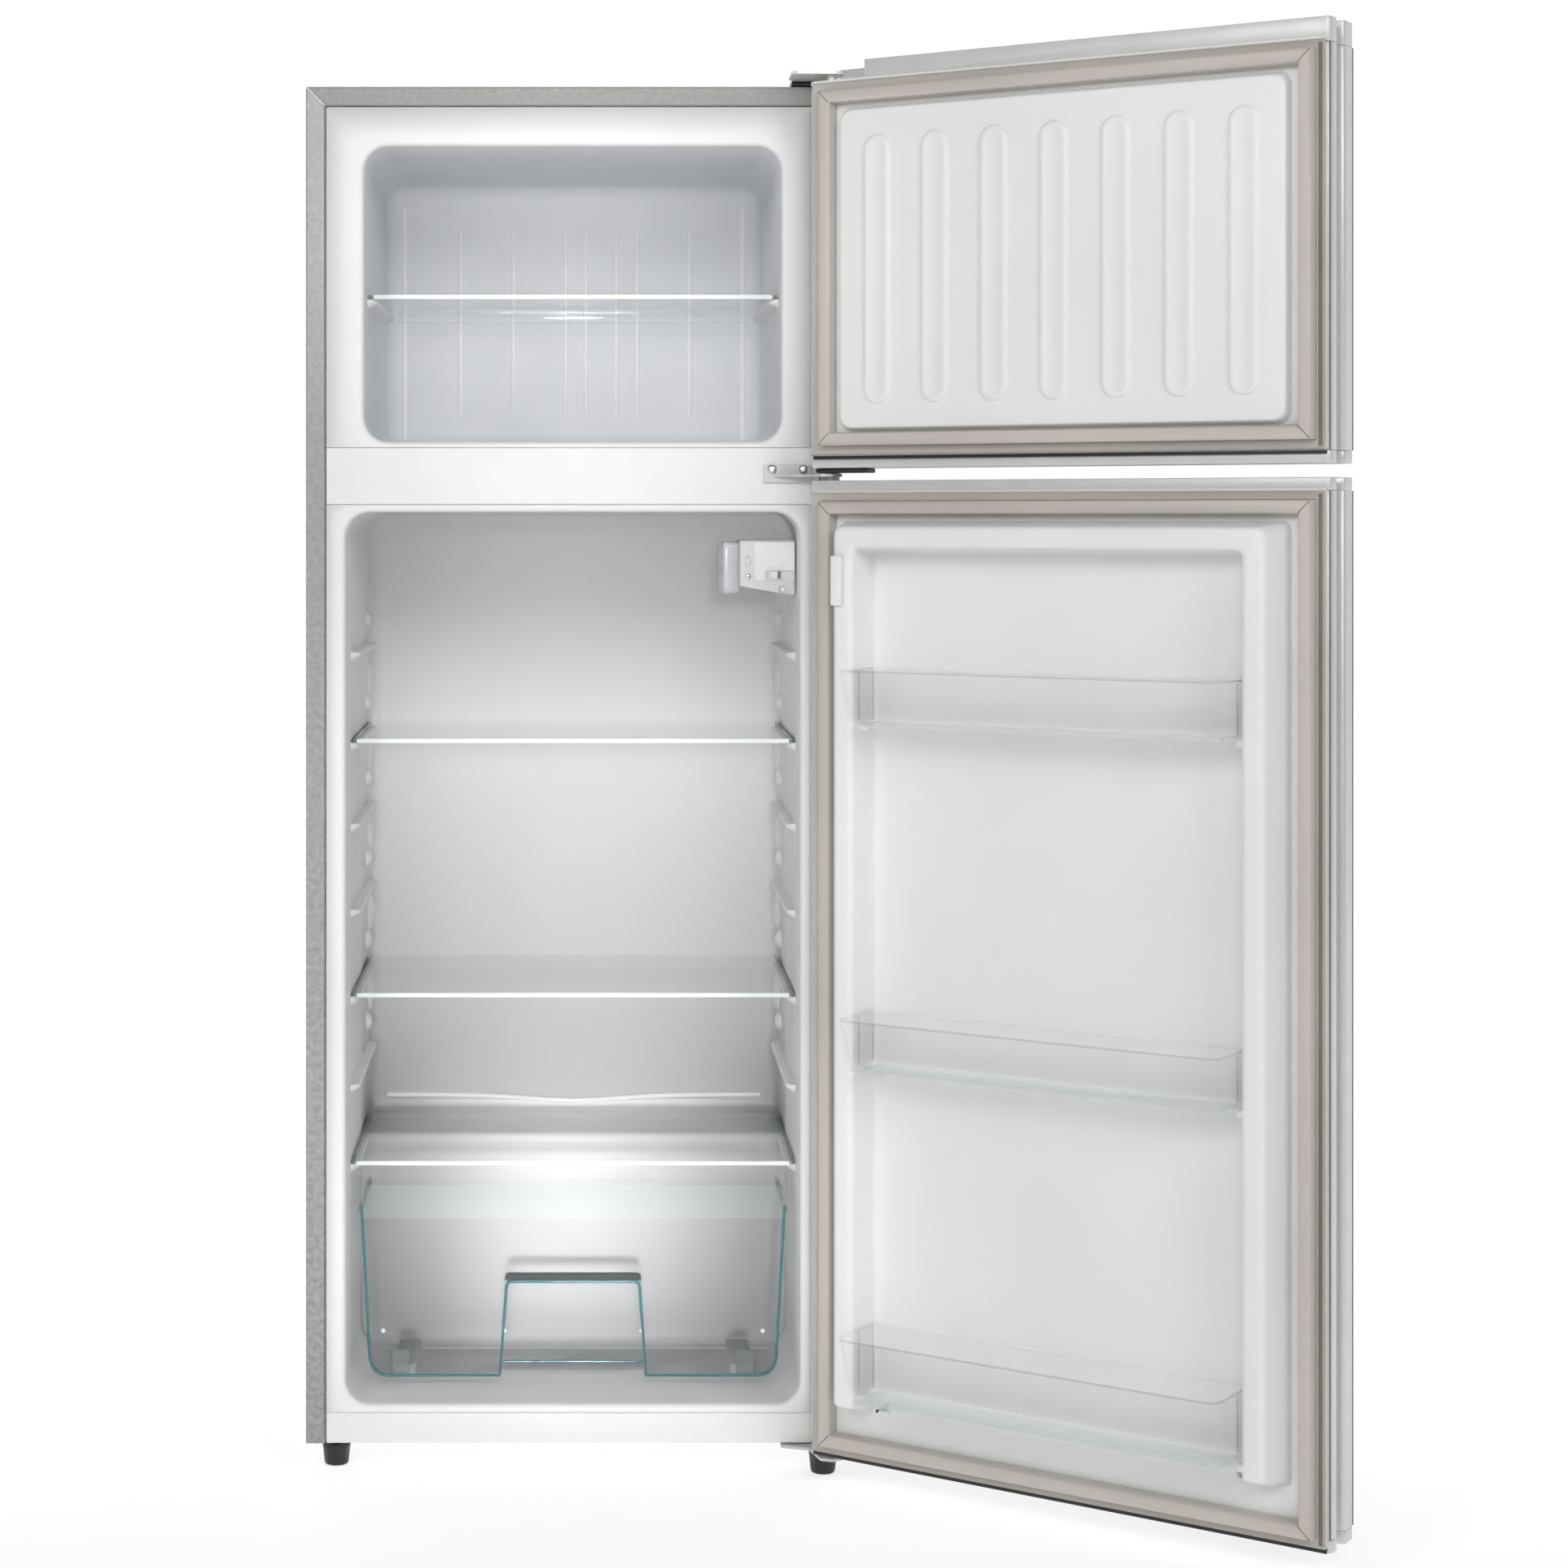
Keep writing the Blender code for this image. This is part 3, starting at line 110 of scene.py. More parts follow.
# ---------------------------------------------------------------- materials
class Tree:
    """A material's nodes, with short calls that add and link them."""

    def __init__(self, name, colour, roughness, metallic=0.0, **inputs):
        self.material = bpy.data.materials.new(name)
        self.material.use_nodes = True
        self.nodes = self.material.node_tree.nodes
        self.links = self.material.node_tree.links
        self.shader = self.nodes["Principled BSDF"]
        self.place = self.nodes.new("ShaderNodeTexCoord").outputs["Object"]
        self.height = None
        inputs |= {"Base Color": (*colour, 1.0), "Roughness": roughness, "Metallic": metallic}
        for key, value in inputs.items():
            self.shader.inputs[key.replace("_", " ")].default_value = value

    def feed(self, key, socket):
        self.links.new(socket, self.shader.inputs[key])

    def node(self, kind, links=(), **values):
        made = self.nodes.new(kind)
        for key, value in values.items():
            if hasattr(made, key):
                setattr(made, key, value)
            else:
                made.inputs[key.replace("_", " ")].default_value = value
        for key, socket in dict(links).items():
            self.links.new(socket, made.inputs[key])
        return made

    def noise(self, scale, detail=3.0, rough=0.55, stretch=None):
        vector = self.place
        if stretch:
            vector = self.node("ShaderNodeMapping", {"Vector": vector}, Scale=stretch).outputs["Vector"]
        values = {"Scale": scale, "Detail": detail, "Roughness": rough}
        return self.node("ShaderNodeTexNoise", {"Vector": vector}, **values).outputs["Fac"]

    def cells(self, scale):
        return self.node("ShaderNodeTexVoronoi", {"Vector": self.place}, Scale=scale).outputs["Distance"]

    def ramp(self, value, low, high, start=0.0, stop=1.0):
        """Maps a value from start..stop to low..high."""
        ends = {"From Min": start, "From Max": stop, "To Min": low, "To Max": high}
        return self.node("ShaderNodeMapRange", {"Value": value}, **ends).outputs["Result"]

    def blend(self, value, first, second):
        """A colour between first and second, each an rgb value or a socket."""
        made = self.nodes.new("ShaderNodeMix")
        made.data_type = "RGBA"
        self.links.new(value, made.inputs[0])
        for socket, colour in ((made.inputs[6], first), (made.inputs[7], second)):
            if isinstance(colour, tuple):
                socket.default_value = (*colour, 1.0)
            else:
                self.links.new(colour, socket)
        return made.outputs[2]

    def times(self, first, second, clamp=False):
        links = {0: first, 1: second}
        return self.node("ShaderNodeMath", links, operation="MULTIPLY", use_clamp=clamp).outputs[0]

    def colour(self, socket):
        self.feed("Base Color", socket)

    def roughness(self, value, low, high):
        self.feed("Roughness", self.ramp(value, low, high, 0.3, 0.7))

    def bump(self, value, strength, distance):
        """Adds a layer of relief; each call stacks on the one before."""
        links = {"Height": value}
        if self.height:
            links["Normal"] = self.height
        made = self.node("ShaderNodeBump", links, Strength=strength, Distance=distance)
        self.height = made.outputs["Normal"]
        self.feed("Normal", self.height)

    def worn(self, colour, wear, amount=0.55):
        """Lightens a colour along sharp outer edges, broken up by noise."""
        edge = self.ramp(self.node("ShaderNodeNewGeometry").outputs["Pointiness"], 0.0, 1.0, 0.52, 0.6)
        broken = self.ramp(self.noise(160.0), 0.0, amount, 0.35, 0.65)
        return self.blend(self.times(edge, broken), colour, wear)


def moulded(name, light, dark, roughness, grain=520.0, relief=0.05, metallic=0.0):
    """Moulded plastic: faint cloudy colour, a fine grain and slight orange peel."""
    tree = Tree(name, light, roughness, metallic)
    tree.colour(tree.blend(tree.ramp(tree.noise(7.0), 0.0, 1.0, 0.35, 0.65), light, dark))
    tree.roughness(tree.noise(35.0), roughness - 0.05, roughness + 0.07)
    tree.bump(tree.noise(70.0, 2.0), relief, 0.0006)
    tree.bump(tree.noise(grain, 2.0), relief * 1.6, 0.0001)
    return tree.material


def speckled_paint(name, light, dark, metallic, roughness, cell, relief, coat=0.25):
    """Silver paint: metal flakes in small cells, with a hammered relief."""
    tree = Tree(name, light, roughness, metallic, Coat_Weight=coat, Coat_Roughness=0.25)
    flakes = tree.ramp(tree.noise(1400.0, 2.0, 0.7), 0.0, 1.0, 0.35, 0.65)
    cells = tree.ramp(tree.cells(cell), 0.0, 1.0, 0.1, 0.7)
    both = tree.blend(flakes, tree.blend(cells, light, dark), tree.blend(cells, dark, light))
    tree.colour(tree.worn(both, (0.72, 0.72, 0.72), 0.4))
    tree.roughness(tree.noise(240.0), roughness - 0.08, roughness + 0.1)
    tree.bump(tree.noise(cell, 3.0, 0.6), relief, 0.0008)
    tree.bump(tree.noise(1400.0, 2.0), relief * 0.35, 0.0002)
    return tree.material


def brushed_metal(name, light, dark, roughness, metallic):
    """Bare metal with fine lines along X, cloudy and brighter along worn edges."""
    tree = Tree(name, light, roughness, metallic)
    lines = tree.noise(1.0, 3.0, 0.6, (60.0, 900.0, 900.0))
    cloudy = tree.blend(tree.ramp(tree.noise(45.0), 0.0, 1.0, 0.3, 0.7), light, dark)
    tree.colour(tree.worn(cloudy, (0.85, 0.85, 0.85)))
    tree.roughness(lines, roughness - 0.08, roughness + 0.12)
    tree.bump(lines, 0.06, 0.0002)
    return tree.material


def enamel(name, colour, wear, roughness, grain, relief, metallic=0.0):
    """Dark paint, rubber or plastic with a fine grain, lighter along worn edges and dusty in patches."""
    tree = Tree(name, colour, roughness, metallic)
    dusty = tuple(c * 0.5 + w * 0.5 for c, w in zip(colour, wear))
    patches = tree.blend(tree.ramp(tree.noise(26.0), 0.0, 0.5, 0.45, 0.7), colour, dusty)
    tree.colour(tree.worn(patches, wear))
    tree.roughness(tree.noise(60.0), roughness - 0.08, roughness + 0.12)
    tree.bump(tree.noise(grain, 3.0), relief, 0.0003)
    return tree.material


def clear(name, face, edge, low, high, power=3.0, roughness=0.06):
    """See-through glass or plastic: thin where it faces the eye, denser where seen along its surface."""
    tree = Tree(name, face, roughness, Coat_Weight=0.6, Coat_Roughness=0.04)
    weight = tree.node("ShaderNodeLayerWeight", Blend=0.5).outputs["Facing"]
    steep = tree.node("ShaderNodeMath", {0: weight}, operation="POWER")
    steep.inputs[1].default_value = power
    facing = steep.outputs[0]
    cloud = tree.ramp(tree.noise(30.0), 0.94, 1.06, 0.3, 0.7)
    tree.colour(tree.blend(facing, face, edge))
    tree.feed("Alpha", tree.times(tree.ramp(facing, low, high), cloud, True))
    tree.bump(tree.noise(18.0, 1.0), 0.02, 0.001)
    return tree.material


def insulation(name):
    tree = Tree(name, (0.8, 0.66, 0.36), 0.9)
    cells = tree.cells(700.0)
    tree.colour(tree.blend(cells, (0.62, 0.48, 0.22), (0.86, 0.74, 0.44)))
    tree.bump(cells, 0.5, 0.0006)
    return tree.material


def tarnished_copper(name):
    tree = Tree(name, (0.72, 0.4, 0.26), 0.3, 1.0)
    stain = tree.ramp(tree.noise(55.0), 0.0, 1.0, 0.4, 0.7)
    tree.colour(tree.blend(stain, (0.76, 0.43, 0.29), (0.36, 0.2, 0.13)))
    tree.roughness(tree.noise(80.0), 0.22, 0.5)
    tree.bump(tree.noise(200.0), 0.1, 0.0002)
    return tree.material


def ground(name):
    """A pale floor that glows a little behind the object, so that it runs into the bright background."""
    tree = Tree(name, (0.62, 0.62, 0.62), 0.9, Specular_IOR_Level=0.0, Emission_Color=(1.0, 1.0, 1.0, 1.0))
    tree.colour(tree.blend(tree.noise(1.2), (0.63, 0.63, 0.63), (0.61, 0.61, 0.615)))
    depth = tree.node("ShaderNodeSeparateXYZ", {"Vector": tree.place}).outputs["Y"]
    tree.feed("Emission Strength", tree.ramp(depth, 0.25, 0.75, -1.6, 0.6))
    return tree.material


# each finish: light and dark colour, then the maker's other values
FINISHES = {
    speckled_paint: {
        "steel_paint": ((0.42, 0.425, 0.43), (0.265, 0.27, 0.275), 0.45, 0.42, 330.0, 0.55),
        "flat_steel": ((0.34, 0.335, 0.325), (0.29, 0.285, 0.275), 0.3, 0.58, 500.0, 0.2, 0.0),
        "door_paint": ((0.54, 0.54, 0.535), (0.44, 0.44, 0.44), 0.45, 0.5, 900.0, 0.14, 0.0),
    },
    moulded: {
        "liner_white": ((0.81, 0.81, 0.81), (0.79, 0.79, 0.792), 0.42, 700.0, 0.02),
        "inner_white": ((0.775, 0.775, 0.777), (0.76, 0.76, 0.764), 0.52),
        "freezer_white": ((0.775, 0.785, 0.805), (0.755, 0.768, 0.79), 0.52),
        "control_white": ((0.68, 0.68, 0.688), (0.66, 0.66, 0.67), 0.4),
        "trim_white": ((0.8, 0.8, 0.795), (0.79, 0.79, 0.785), 0.42, 700.0, 0.015),
        # a brighter white for the freezer's back-wall ribs, which are the same sheet as the wall: painted
        # highlight
        "rib_white": ((0.93, 0.93, 0.935), (0.91, 0.91, 0.915), 0.4, 700.0, 0.015),
        "cap_grey": ((0.66, 0.66, 0.645), (0.64, 0.64, 0.625), 0.36, 900.0, 0.008, 0.3),
        "gasket": ((0.56, 0.505, 0.465), (0.53, 0.48, 0.44), 0.5, 900.0, 0.12),
        # a darker copy of the gasket for its flanks and foot: painted shade
        "gasket_side": ((0.5, 0.48, 0.44), (0.47, 0.45, 0.41), 0.5, 900.0, 0.12),
        "gasket_line": ((0.2, 0.18, 0.165), (0.16, 0.145, 0.13), 0.6, 900.0, 0.12),
        # next: a near-white for the glass shelves' front edges, a painted highlight, and a dark green for
        # their side edges, the glass's tint darkened as painted shade
        "glass_edge": ((0.9, 0.93, 0.92), (0.87, 0.91, 0.9), 0.2),
        "glass_side": ((0.16, 0.22, 0.22), (0.1, 0.16, 0.16), 0.15),
    },
    brushed_metal: {
        "zinc": ((0.72, 0.72, 0.7), (0.6, 0.6, 0.585), 0.42, 0.45),
        # a lighter and a darker copy of the zinc for the hinges: painted highlight and painted shade
        "bright_zinc": ((0.9, 0.9, 0.88), (0.8, 0.8, 0.78), 0.3, 0.25),
        "dull_zinc": ((0.62, 0.62, 0.605), (0.5, 0.5, 0.49), 0.48, 0.35),
        "screw_steel": ((0.72, 0.72, 0.7), (0.55, 0.55, 0.53), 0.25, 1.0),
    },
    enamel: {
        "black_plastic": ((0.008, 0.008, 0.009), (0.035, 0.035, 0.035), 0.38, 900.0, 0.15),
        "black_enamel": ((0.014, 0.014, 0.015), (0.09, 0.09, 0.09), 0.34, 700.0, 0.1, 0.2),
        "rubber": ((0.014, 0.014, 0.014), (0.05, 0.05, 0.05), 0.75, 500.0, 0.3),
    },
    clear: {
        "glass": ((0.84, 0.93, 0.92), (0.6, 0.74, 0.72), 0.04, 0.22, 6.0),
        "clear_plastic": ((0.95, 0.985, 0.985), (0.72, 0.9, 0.91), 0.01, 0.24, 2.6),
        "clear_band": ((0.62, 0.74, 0.73), (0.5, 0.68, 0.68), 0.09, 0.35),
        "bin_floor": ((0.92, 0.975, 0.965), (0.78, 0.9, 0.88), 0.34, 0.6),
        "teal_edge": ((0.06, 0.25, 0.27), (0.03, 0.17, 0.19), 0.8, 0.95),
        "pale_edge": ((0.9, 0.965, 0.96), (0.64, 0.82, 0.82), 0.13, 0.42),
        "lamp_plastic": ((0.8, 0.79, 0.84), (0.66, 0.65, 0.72), 0.62, 0.9, 3.0, 0.2),
        "lamp_glass": ((0.95, 0.93, 0.86), (0.8, 0.78, 0.7), 0.4, 0.8),
    },
    tarnished_copper: {"copper": ()},
    insulation: {"foam": ()},
}
MATERIAL = {name: maker(name, *values) for maker, rows in FINISHES.items() for name, values in rows.items()}
SLOT_OF = {"flat_steel": "steel_paint", "bright_zinc": "zinc", "dull_zinc": "zinc", "gasket_side": "gasket"}
SLOT_OF |= {"gasket_line": "gasket", "glass_edge": "glass", "glass_side": "glass"}
SLOT_OF |= {key: "liner_white" for key in ("freezer_white", "rib_white", "inner_white", "control_white")}
SLOT_OF |= {key: "clear_plastic" for key in ("teal_edge", "pale_edge", "clear_band", "bin_floor")}


# ---------------------------------------------------------------- making pieces
def settle(thing, body, material, node=None):
    """Takes a piece from the cabinet frame to its place, with its body, finish and the node it stands for."""
    thing.data.transform(OPENED if body in DOOR_BODIES else CABINET)
    thing.data.materials.clear()
    thing.data.materials.append(MATERIAL[material])
    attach(thing, body)
    if node:
        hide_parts(node)


def recolour(thing, material, chosen, placed=CABINET):
    """Adds a second finish for the faces a test picks by their middle in the cabinet frame and normal."""
    thing.data.materials.append(MATERIAL[material])
    home = placed.inverted()
    for face in thing.data.polygons:
        face.material_index = int(chosen(home @ face.center, face.normal))


def behind_face(point, normal):
    return point.y > 0.006


def piece(name, bm, smooth=38.0):
    """A mesh object, smooth where its faces meet at less than the given angle in degrees."""
    bmesh.ops.recalc_face_normals(bm, faces=bm.faces)
    mesh = bpy.data.meshes.new(name)
    bm.to_mesh(mesh)
    bm.free()
    mesh.shade_smooth()
    mesh.set_sharp_from_angle(angle=math.radians(smooth))
    thing = bpy.data.objects.new(name, mesh)
    bpy.context.scene.collection.objects.link(thing)
    return thing


def assemble(name, body, material, parts, node=None, smooth=38.0):
    """One settled piece of several closed parts, each a drawing function and what it draws."""
    bm = bmesh.new()
    for draw, *shape in parts:
        draw(bm, *shape)
    settle(piece(name, bm, smooth), body, material, node)


def add_rings(bm, rings, caps=2):
    """Skins rings of equal length, each a closed list of points; caps 2 closes both ends, 1 only the last."""
    rows = [[bm.verts.new(p) for p in ring] for ring in rings]
    count = len(rows[0])
    for a, b in zip(rows, rows[1:]):
        for i in range(count):
            j = (i + 1) % count
            bm.faces.new((a[i], a[j], b[j], b[i]))
    for row in (rows[0], rows[-1])[2 - caps:]:
        bm.faces.new(row)


def lofted(name, rings, caps=2, smooth=38.0):
    bm = bmesh.new()
    add_rings(bm, rings, caps)
    return piece(name, bm, smooth)


def strip(name, rows):
    """An open sheet between rows of points."""
    bm = bmesh.new()
    rows = [[bm.verts.new(p) for p in row] for row in rows]
    for a, b in zip(rows, rows[1:]):
        for i in range(len(a) - 1):
            bm.faces.new((a[i], a[i + 1], b[i + 1], b[i]))
    return piece(name, bm)


def add_block(bm, low, high, radius=0.0, segments=3):
    """A box with rounded edges."""
    size, middle = Vector(high) - Vector(low), (Vector(high) + Vector(low)) / 2
    matrix = Matrix.Translation(middle) @ Matrix.Diagonal((*size, 1.0))
    made = bmesh.ops.create_cube(bm, size=1.0, matrix=matrix)["verts"]
    if radius:
        edges = list({e for v in made for e in v.link_edges})
        how = {"segments": segments, "affect": "EDGES", "profile": 0.5, "clamp_overlap": True}
        bmesh.ops.bevel(bm, geom=edges, offset=radius, **how)


def block(name, low, high, radius=0.001, segments=3):
    bm = bmesh.new()
    add_block(bm, low, high, radius, segments)
    return piece(name, bm)


def arc(centre, radius, start, stop, steps):
    """Points on a circle between two angles in degrees."""
    turn = [math.radians(start + (stop - start) * i / steps) for i in range(steps + 1)]
    return [(centre[0] + radius * math.cos(a), centre[1] + radius * math.sin(a)) for a in turn]


def add_tube(bm, points, radius, sides=12):
    """A round tube along a route, with its rings kept from twisting."""
    points = [Vector(p) for p in points]
    normal = None
    rings = []
    for i, point in enumerate(points):
        along = (points[min(i + 1, len(points) - 1)] - points[max(i - 1, 0)]).normalized()
        if normal is None:
            normal = along.orthogonal().normalized()
        normal = (normal - along * normal.dot(along)).normalized()
        side = along.cross(normal)
        rings.append([point + normal * a + side * b for a, b in arc((0, 0), radius, 0, 360, sides)[:-1]])
    add_rings(bm, rings)


def add_lathe(bm, profile, centre, sides=32, axis="Z", period=1):
    """A turned solid of (radius, height) points, the height upwards or, on axis Y, to the front.

    A third number in a point is the depth of ribs there, each a period of sides wide.
    """
    turn = {"Z": Matrix.Identity(3), "Y": Matrix(((1, 0, 0), (0, 0, -1), (0, 1, 0)))}[axis]
    rings = []
    for radius, height, *ribs in profile:
        ring = []
        for k in range(sides):
            a = math.tau * k / sides
            r = radius - (ribs[0] if ribs and k % period < period / 2 else 0.0)
            ring.append(Vector(centre) + turn @ Vector((r * math.cos(a), r * math.sin(a), height)))
        rings.append(ring)
    add_rings(bm, rings)


def lathe(name, profile, centre, sides=32, axis="Z"):
    bm = bmesh.new()
    add_lathe(bm, profile, centre, sides, axis)
    return piece(name, bm, 30.0)


def add_bulge(bm, centre, size):
    """A smooth half-sunk swelling of the wall."""
    matrix = Matrix.Translation(centre) @ Matrix.Diagonal((*size, 1.0))
    bmesh.ops.create_uvsphere(bm, u_segments=28, v_segments=18, radius=1.0, matrix=matrix)


def filleted(points, radius, steps=4, closed=False):
    """A route whose corners are replaced by short curves; works on points of any dimension."""
    points = [Vector(p) for p in points]
    count = len(points)
    route = []
    for i, corner in enumerate(points):
        if not closed and i in (0, count - 1):
            route.append(corner)
            continue
        before, after = points[i - 1], points[(i + 1) % count]
        arm = min(radius, (before - corner).length * 0.49, (after - corner).length * 0.49)
        start = corner + (before - corner).normalized() * arm
        end = corner + (after - corner).normalized() * arm
        for k in range(steps + 1):
            t = k / steps
            route.append(start * (1 - t) ** 2 + corner * 2 * t * (1 - t) + end * t**2)
    return route


def inward(outline):
    """The direction towards the inside at each corner of an outline."""
    area = sum(a[0] * b[1] - b[0] * a[1] for a, b in zip(outline, outline[1:] + outline[:1]))
    sign = 1 if area > 0 else -1
    found = []
    for i in range(len(outline)):
        before, after = outline[i - 1], outline[(i + 1) % len(outline)]
        dx, dy = after[0] - before[0], after[1] - before[1]
        size = math.hypot(dx, dy) or 1.0
        found.append((-dy / size * sign, dx / size * sign))
    return found


def prism(name, outline, low, high, edge):
    """A flat outline, its corners rounded, given a height, with eased edges."""
    outline = [tuple(p) for p in filleted(outline, 0.0016, 4, closed=True)]
    sides = list(zip(outline, inward(outline)))
    ease = [(edge, low), (edge * 0.3, low + edge * 0.3), (0.0, low + edge)]
    ease += [(0.0, high - edge), (edge * 0.3, high - edge * 0.3), (edge, high)]
    rings = [[(a + u * inset, b + v * inset, z) for (a, b), (u, v) in sides] for inset, z in ease]
    return lofted(name, rings, smooth=50.0)


def round_rectangle(half, low, high, radius, steps=8):
    """(x, z) points of a rectangle with rounded corners, anticlockwise seen from the front."""
    points = []
    for x, z, start in ((half, low, -90), (half, high, 0), (-half, high, 90), (-half, low, 180)):
        centre = (x - math.copysign(radius, x), z + (radius if z == low else -radius))
        points += arc(centre, radius, start, start + 90, steps)
    return points


def bevel(thing, width, segments=3, angle=35.0):
    step = thing.modifiers.new("Bevel", "BEVEL")
    step.width = width
    step.segments = segments
    step.limit_method = "ANGLE"
    step.angle_limit = math.radians(angle)
    step.harden_normals = True
    return thing


def shell(thing, point, direction, thickness=LINER):
    """Thickens an open sheet behind the side on which its face nearest a point looks along a direction."""
    mesh = thing.data
    nearest = min(mesh.polygons, key=lambda face: (face.center - Vector(point)).length)
    if nearest.normal.dot(Vector(direction)) < 0:
        mesh.flip_normals()
    step = thing.modifiers.new("Solidify", "SOLIDIFY")
    step.thickness = thickness
    step.offset = -1.0
    return thing


def carve(thing, tool):
    """Cuts a piece with a tool, and removes the tool."""
    step = thing.modifiers.new("Boolean", "BOOLEAN")
    step.operation = "DIFFERENCE"
    step.object = tool
    bpy.context.view_layer.update()
    mesh = bpy.data.meshes.new_from_object(thing.evaluated_get(bpy.context.evaluated_depsgraph_get()))
    thing.modifiers.clear()
    thing.data = mesh
    bpy.data.objects.remove(tool, do_unlink=True)
    mesh.shade_smooth()
    mesh.set_sharp_from_angle(angle=math.radians(35))
    return thing


def carve_block(thing, origin, low, high, radius):
    """Cuts a rounded box, given from an origin, out of a piece."""
    carve(thing, block("tool", origin + Vector(low), origin + Vector(high), radius))


def slice_at(bm, point, normal):
    bmesh.ops.bisect_plane(bm, geom=[*bm.verts, *bm.edges, *bm.faces], plane_co=point, plane_no=normal)


def dress(node, material, edge=0.0, segments=2):
    """Keeps a CAD node's shape, with its flat faces merged, its edges eased and a finish of its own."""
    thing = NODES[node]
    mesh = thing.data
    for layer in ("custom_normal", "sharp_edge", "sharp_face"):
        if layer in mesh.attributes:
            mesh.attributes.remove(mesh.attributes[layer])
    mesh.shade_smooth()
    thing.modifiers.new("Weld", "WELD").merge_threshold = 0.00001
    flat = thing.modifiers.new("Flat", "DECIMATE")
    flat.decimate_type = "DISSOLVE"
    flat.angle_limit = math.radians(1.0)
    if edge:
        bevel(thing, edge, segments, 30.0)
    else:
        thing.modifiers.new("Split", "EDGE_SPLIT").split_angle = math.radians(32)
    mesh.materials.clear()
    mesh.materials.append(MATERIAL[material])


# ---------------------------------------------------------------- cabinet
def build_wrap():
    """The painted sheet round the cabinet: two sides and a top, flanged and mitred at the front."""

    def row(inset, y):
        x, z = HALF - inset, TOP - inset
        return [(-x, y, BOTTOM), (-x, y, z), (x, y, z), (x, y, BOTTOM)]

    wrap = strip("cabinet_wrap", [row(0, DEPTH), row(0, 0), row(FLANGE, 0), row(FLANGE, 0.003)])
    shell(bevel(wrap, 0.0022, 5), (0, DEPTH / 2, TOP), (0, 0, 1), SHEET)
    settle(wrap, "cabinet", "steel_paint", "outer_cabinet")
    recolour(wrap, "flat_steel", lambda point, normal: abs(normal.y) > 0.9 and point.z > TOP - FLANGE - 0.002)
    for side, name in ((-1, "left"), (1, "right")):
        inner = Vector((side * (HALF - FLANGE + 0.0006), -0.0002, TOP - FLANGE + 0.0006))
        outer = Vector((side * (HALF - 0.0015), -0.0002, TOP - 0.0015))
        line = [inner, inner.lerp(outer, 0.5), outer]
        assemble(f"mitre_{name}", "cabinet", "screw_steel", [(add_tube, line, 0.0006, 8)])


def tub_rings(node, half, z, back, mouth=0.005, corner=0.025, curve=0.018):
    """A liner's surface: its flat face, a rounded mouth, the walls and a rounded turn into the back wall."""
    low, high = local_box(node)

    def ring(y, grow):
        outline = round_rectangle(half + grow, z[0] - grow, z[1] + grow, corner + grow)
        return [(x, y, level) for x, level in outline]

    rings = [[(x, 0.0, level) for x, level in round_rectangle(high.x, low.z, high.z, 0.0015)]]
    for i in range(7):
        a = math.radians(15 * i)
        rings.append(ring(mouth * (1 - math.cos(a)), mouth * (1 - math.sin(a))))
    rings += [ring(y, 0.0) for y in (0.1, 0.22, 0.3)]
    for i in range(8):
        a = math.radians(90 * i / 7)
        rings.append(ring(back - curve + curve * math.sin(a), -curve * (1 - math.cos(a))))
    return rings


def add_rail(bm, side, half, z, front, back, reach=0.0098, drop=0.011):
    """A moulded rail on a side wall: flat on top, round at its nose and sloping back to the wall below."""
    root = 0.0015
    section = filleted([(root, 0.0), (-reach, 0.0), (-reach, -0.0045), (root, -drop)], 0.003, 4)
    ends = ((0.0, 0.25), (0.002, 0.62), (0.006, 0.92), (0.012, 1.0))
    stations = [(front + y, share) for y, share in ends] + [(back - y, share) for y, share in ends[::-1]]
    add_rings(bm, [
        [(side * (half + (x - root) * share + root), y, z + h * (0.55 + 0.45 * share)) for x, h in section]
        for y, share in stations
    ])


def build_freezer_liner():
    liner = lofted("freezer_tub", tub_rings("freezer_liner", FREEZER_HALF, FREEZER_Z, FREEZER_BACK), 1)
    settle(shell(liner, (0, FREEZER_BACK, 1.2), (0, -1, 0)), "cabinet", "liner_white", "freezer_liner")
    recolour(liner, "freezer_white", behind_face)
    y = FREEZER_BACK + 0.0011
    floor, roof = FREEZER_Z
    low, high = floor + 0.041, roof - 0.055
    ribs = []
    for x in (-0.13, -0.069, -0.009, 0.014, 0.049, 0.073, 0.133):
        line = [(x, y + 0.002, low - 0.003), (x, y, low), (x, y, high), (x, y + 0.002, high + 0.004)]
        ribs.append((add_tube, line, 0.003, 20))
    ribs += [(add_tube, [(x, y, floor + 0.01), (x, y, roof - 0.024)], 0.0032, 20) for x in (-0.1935, 0.1935)]
    # The ribs are painted whiter than the wall they are moulded in: painted highlight.
    assemble("freezer_ribs", "cabinet", "rib_white", ribs)
    shelf = local_box("freezer_shelf")[0]
    rail = (FREEZER_HALF, shelf.z - 0.0003, shelf.y + 0.002, 0.352, 0.0105, 0.01)
    assemble("freezer_rails", "cabinet", "trim_white", [(add_rail, side, *rail) for side in (-1, 1)])


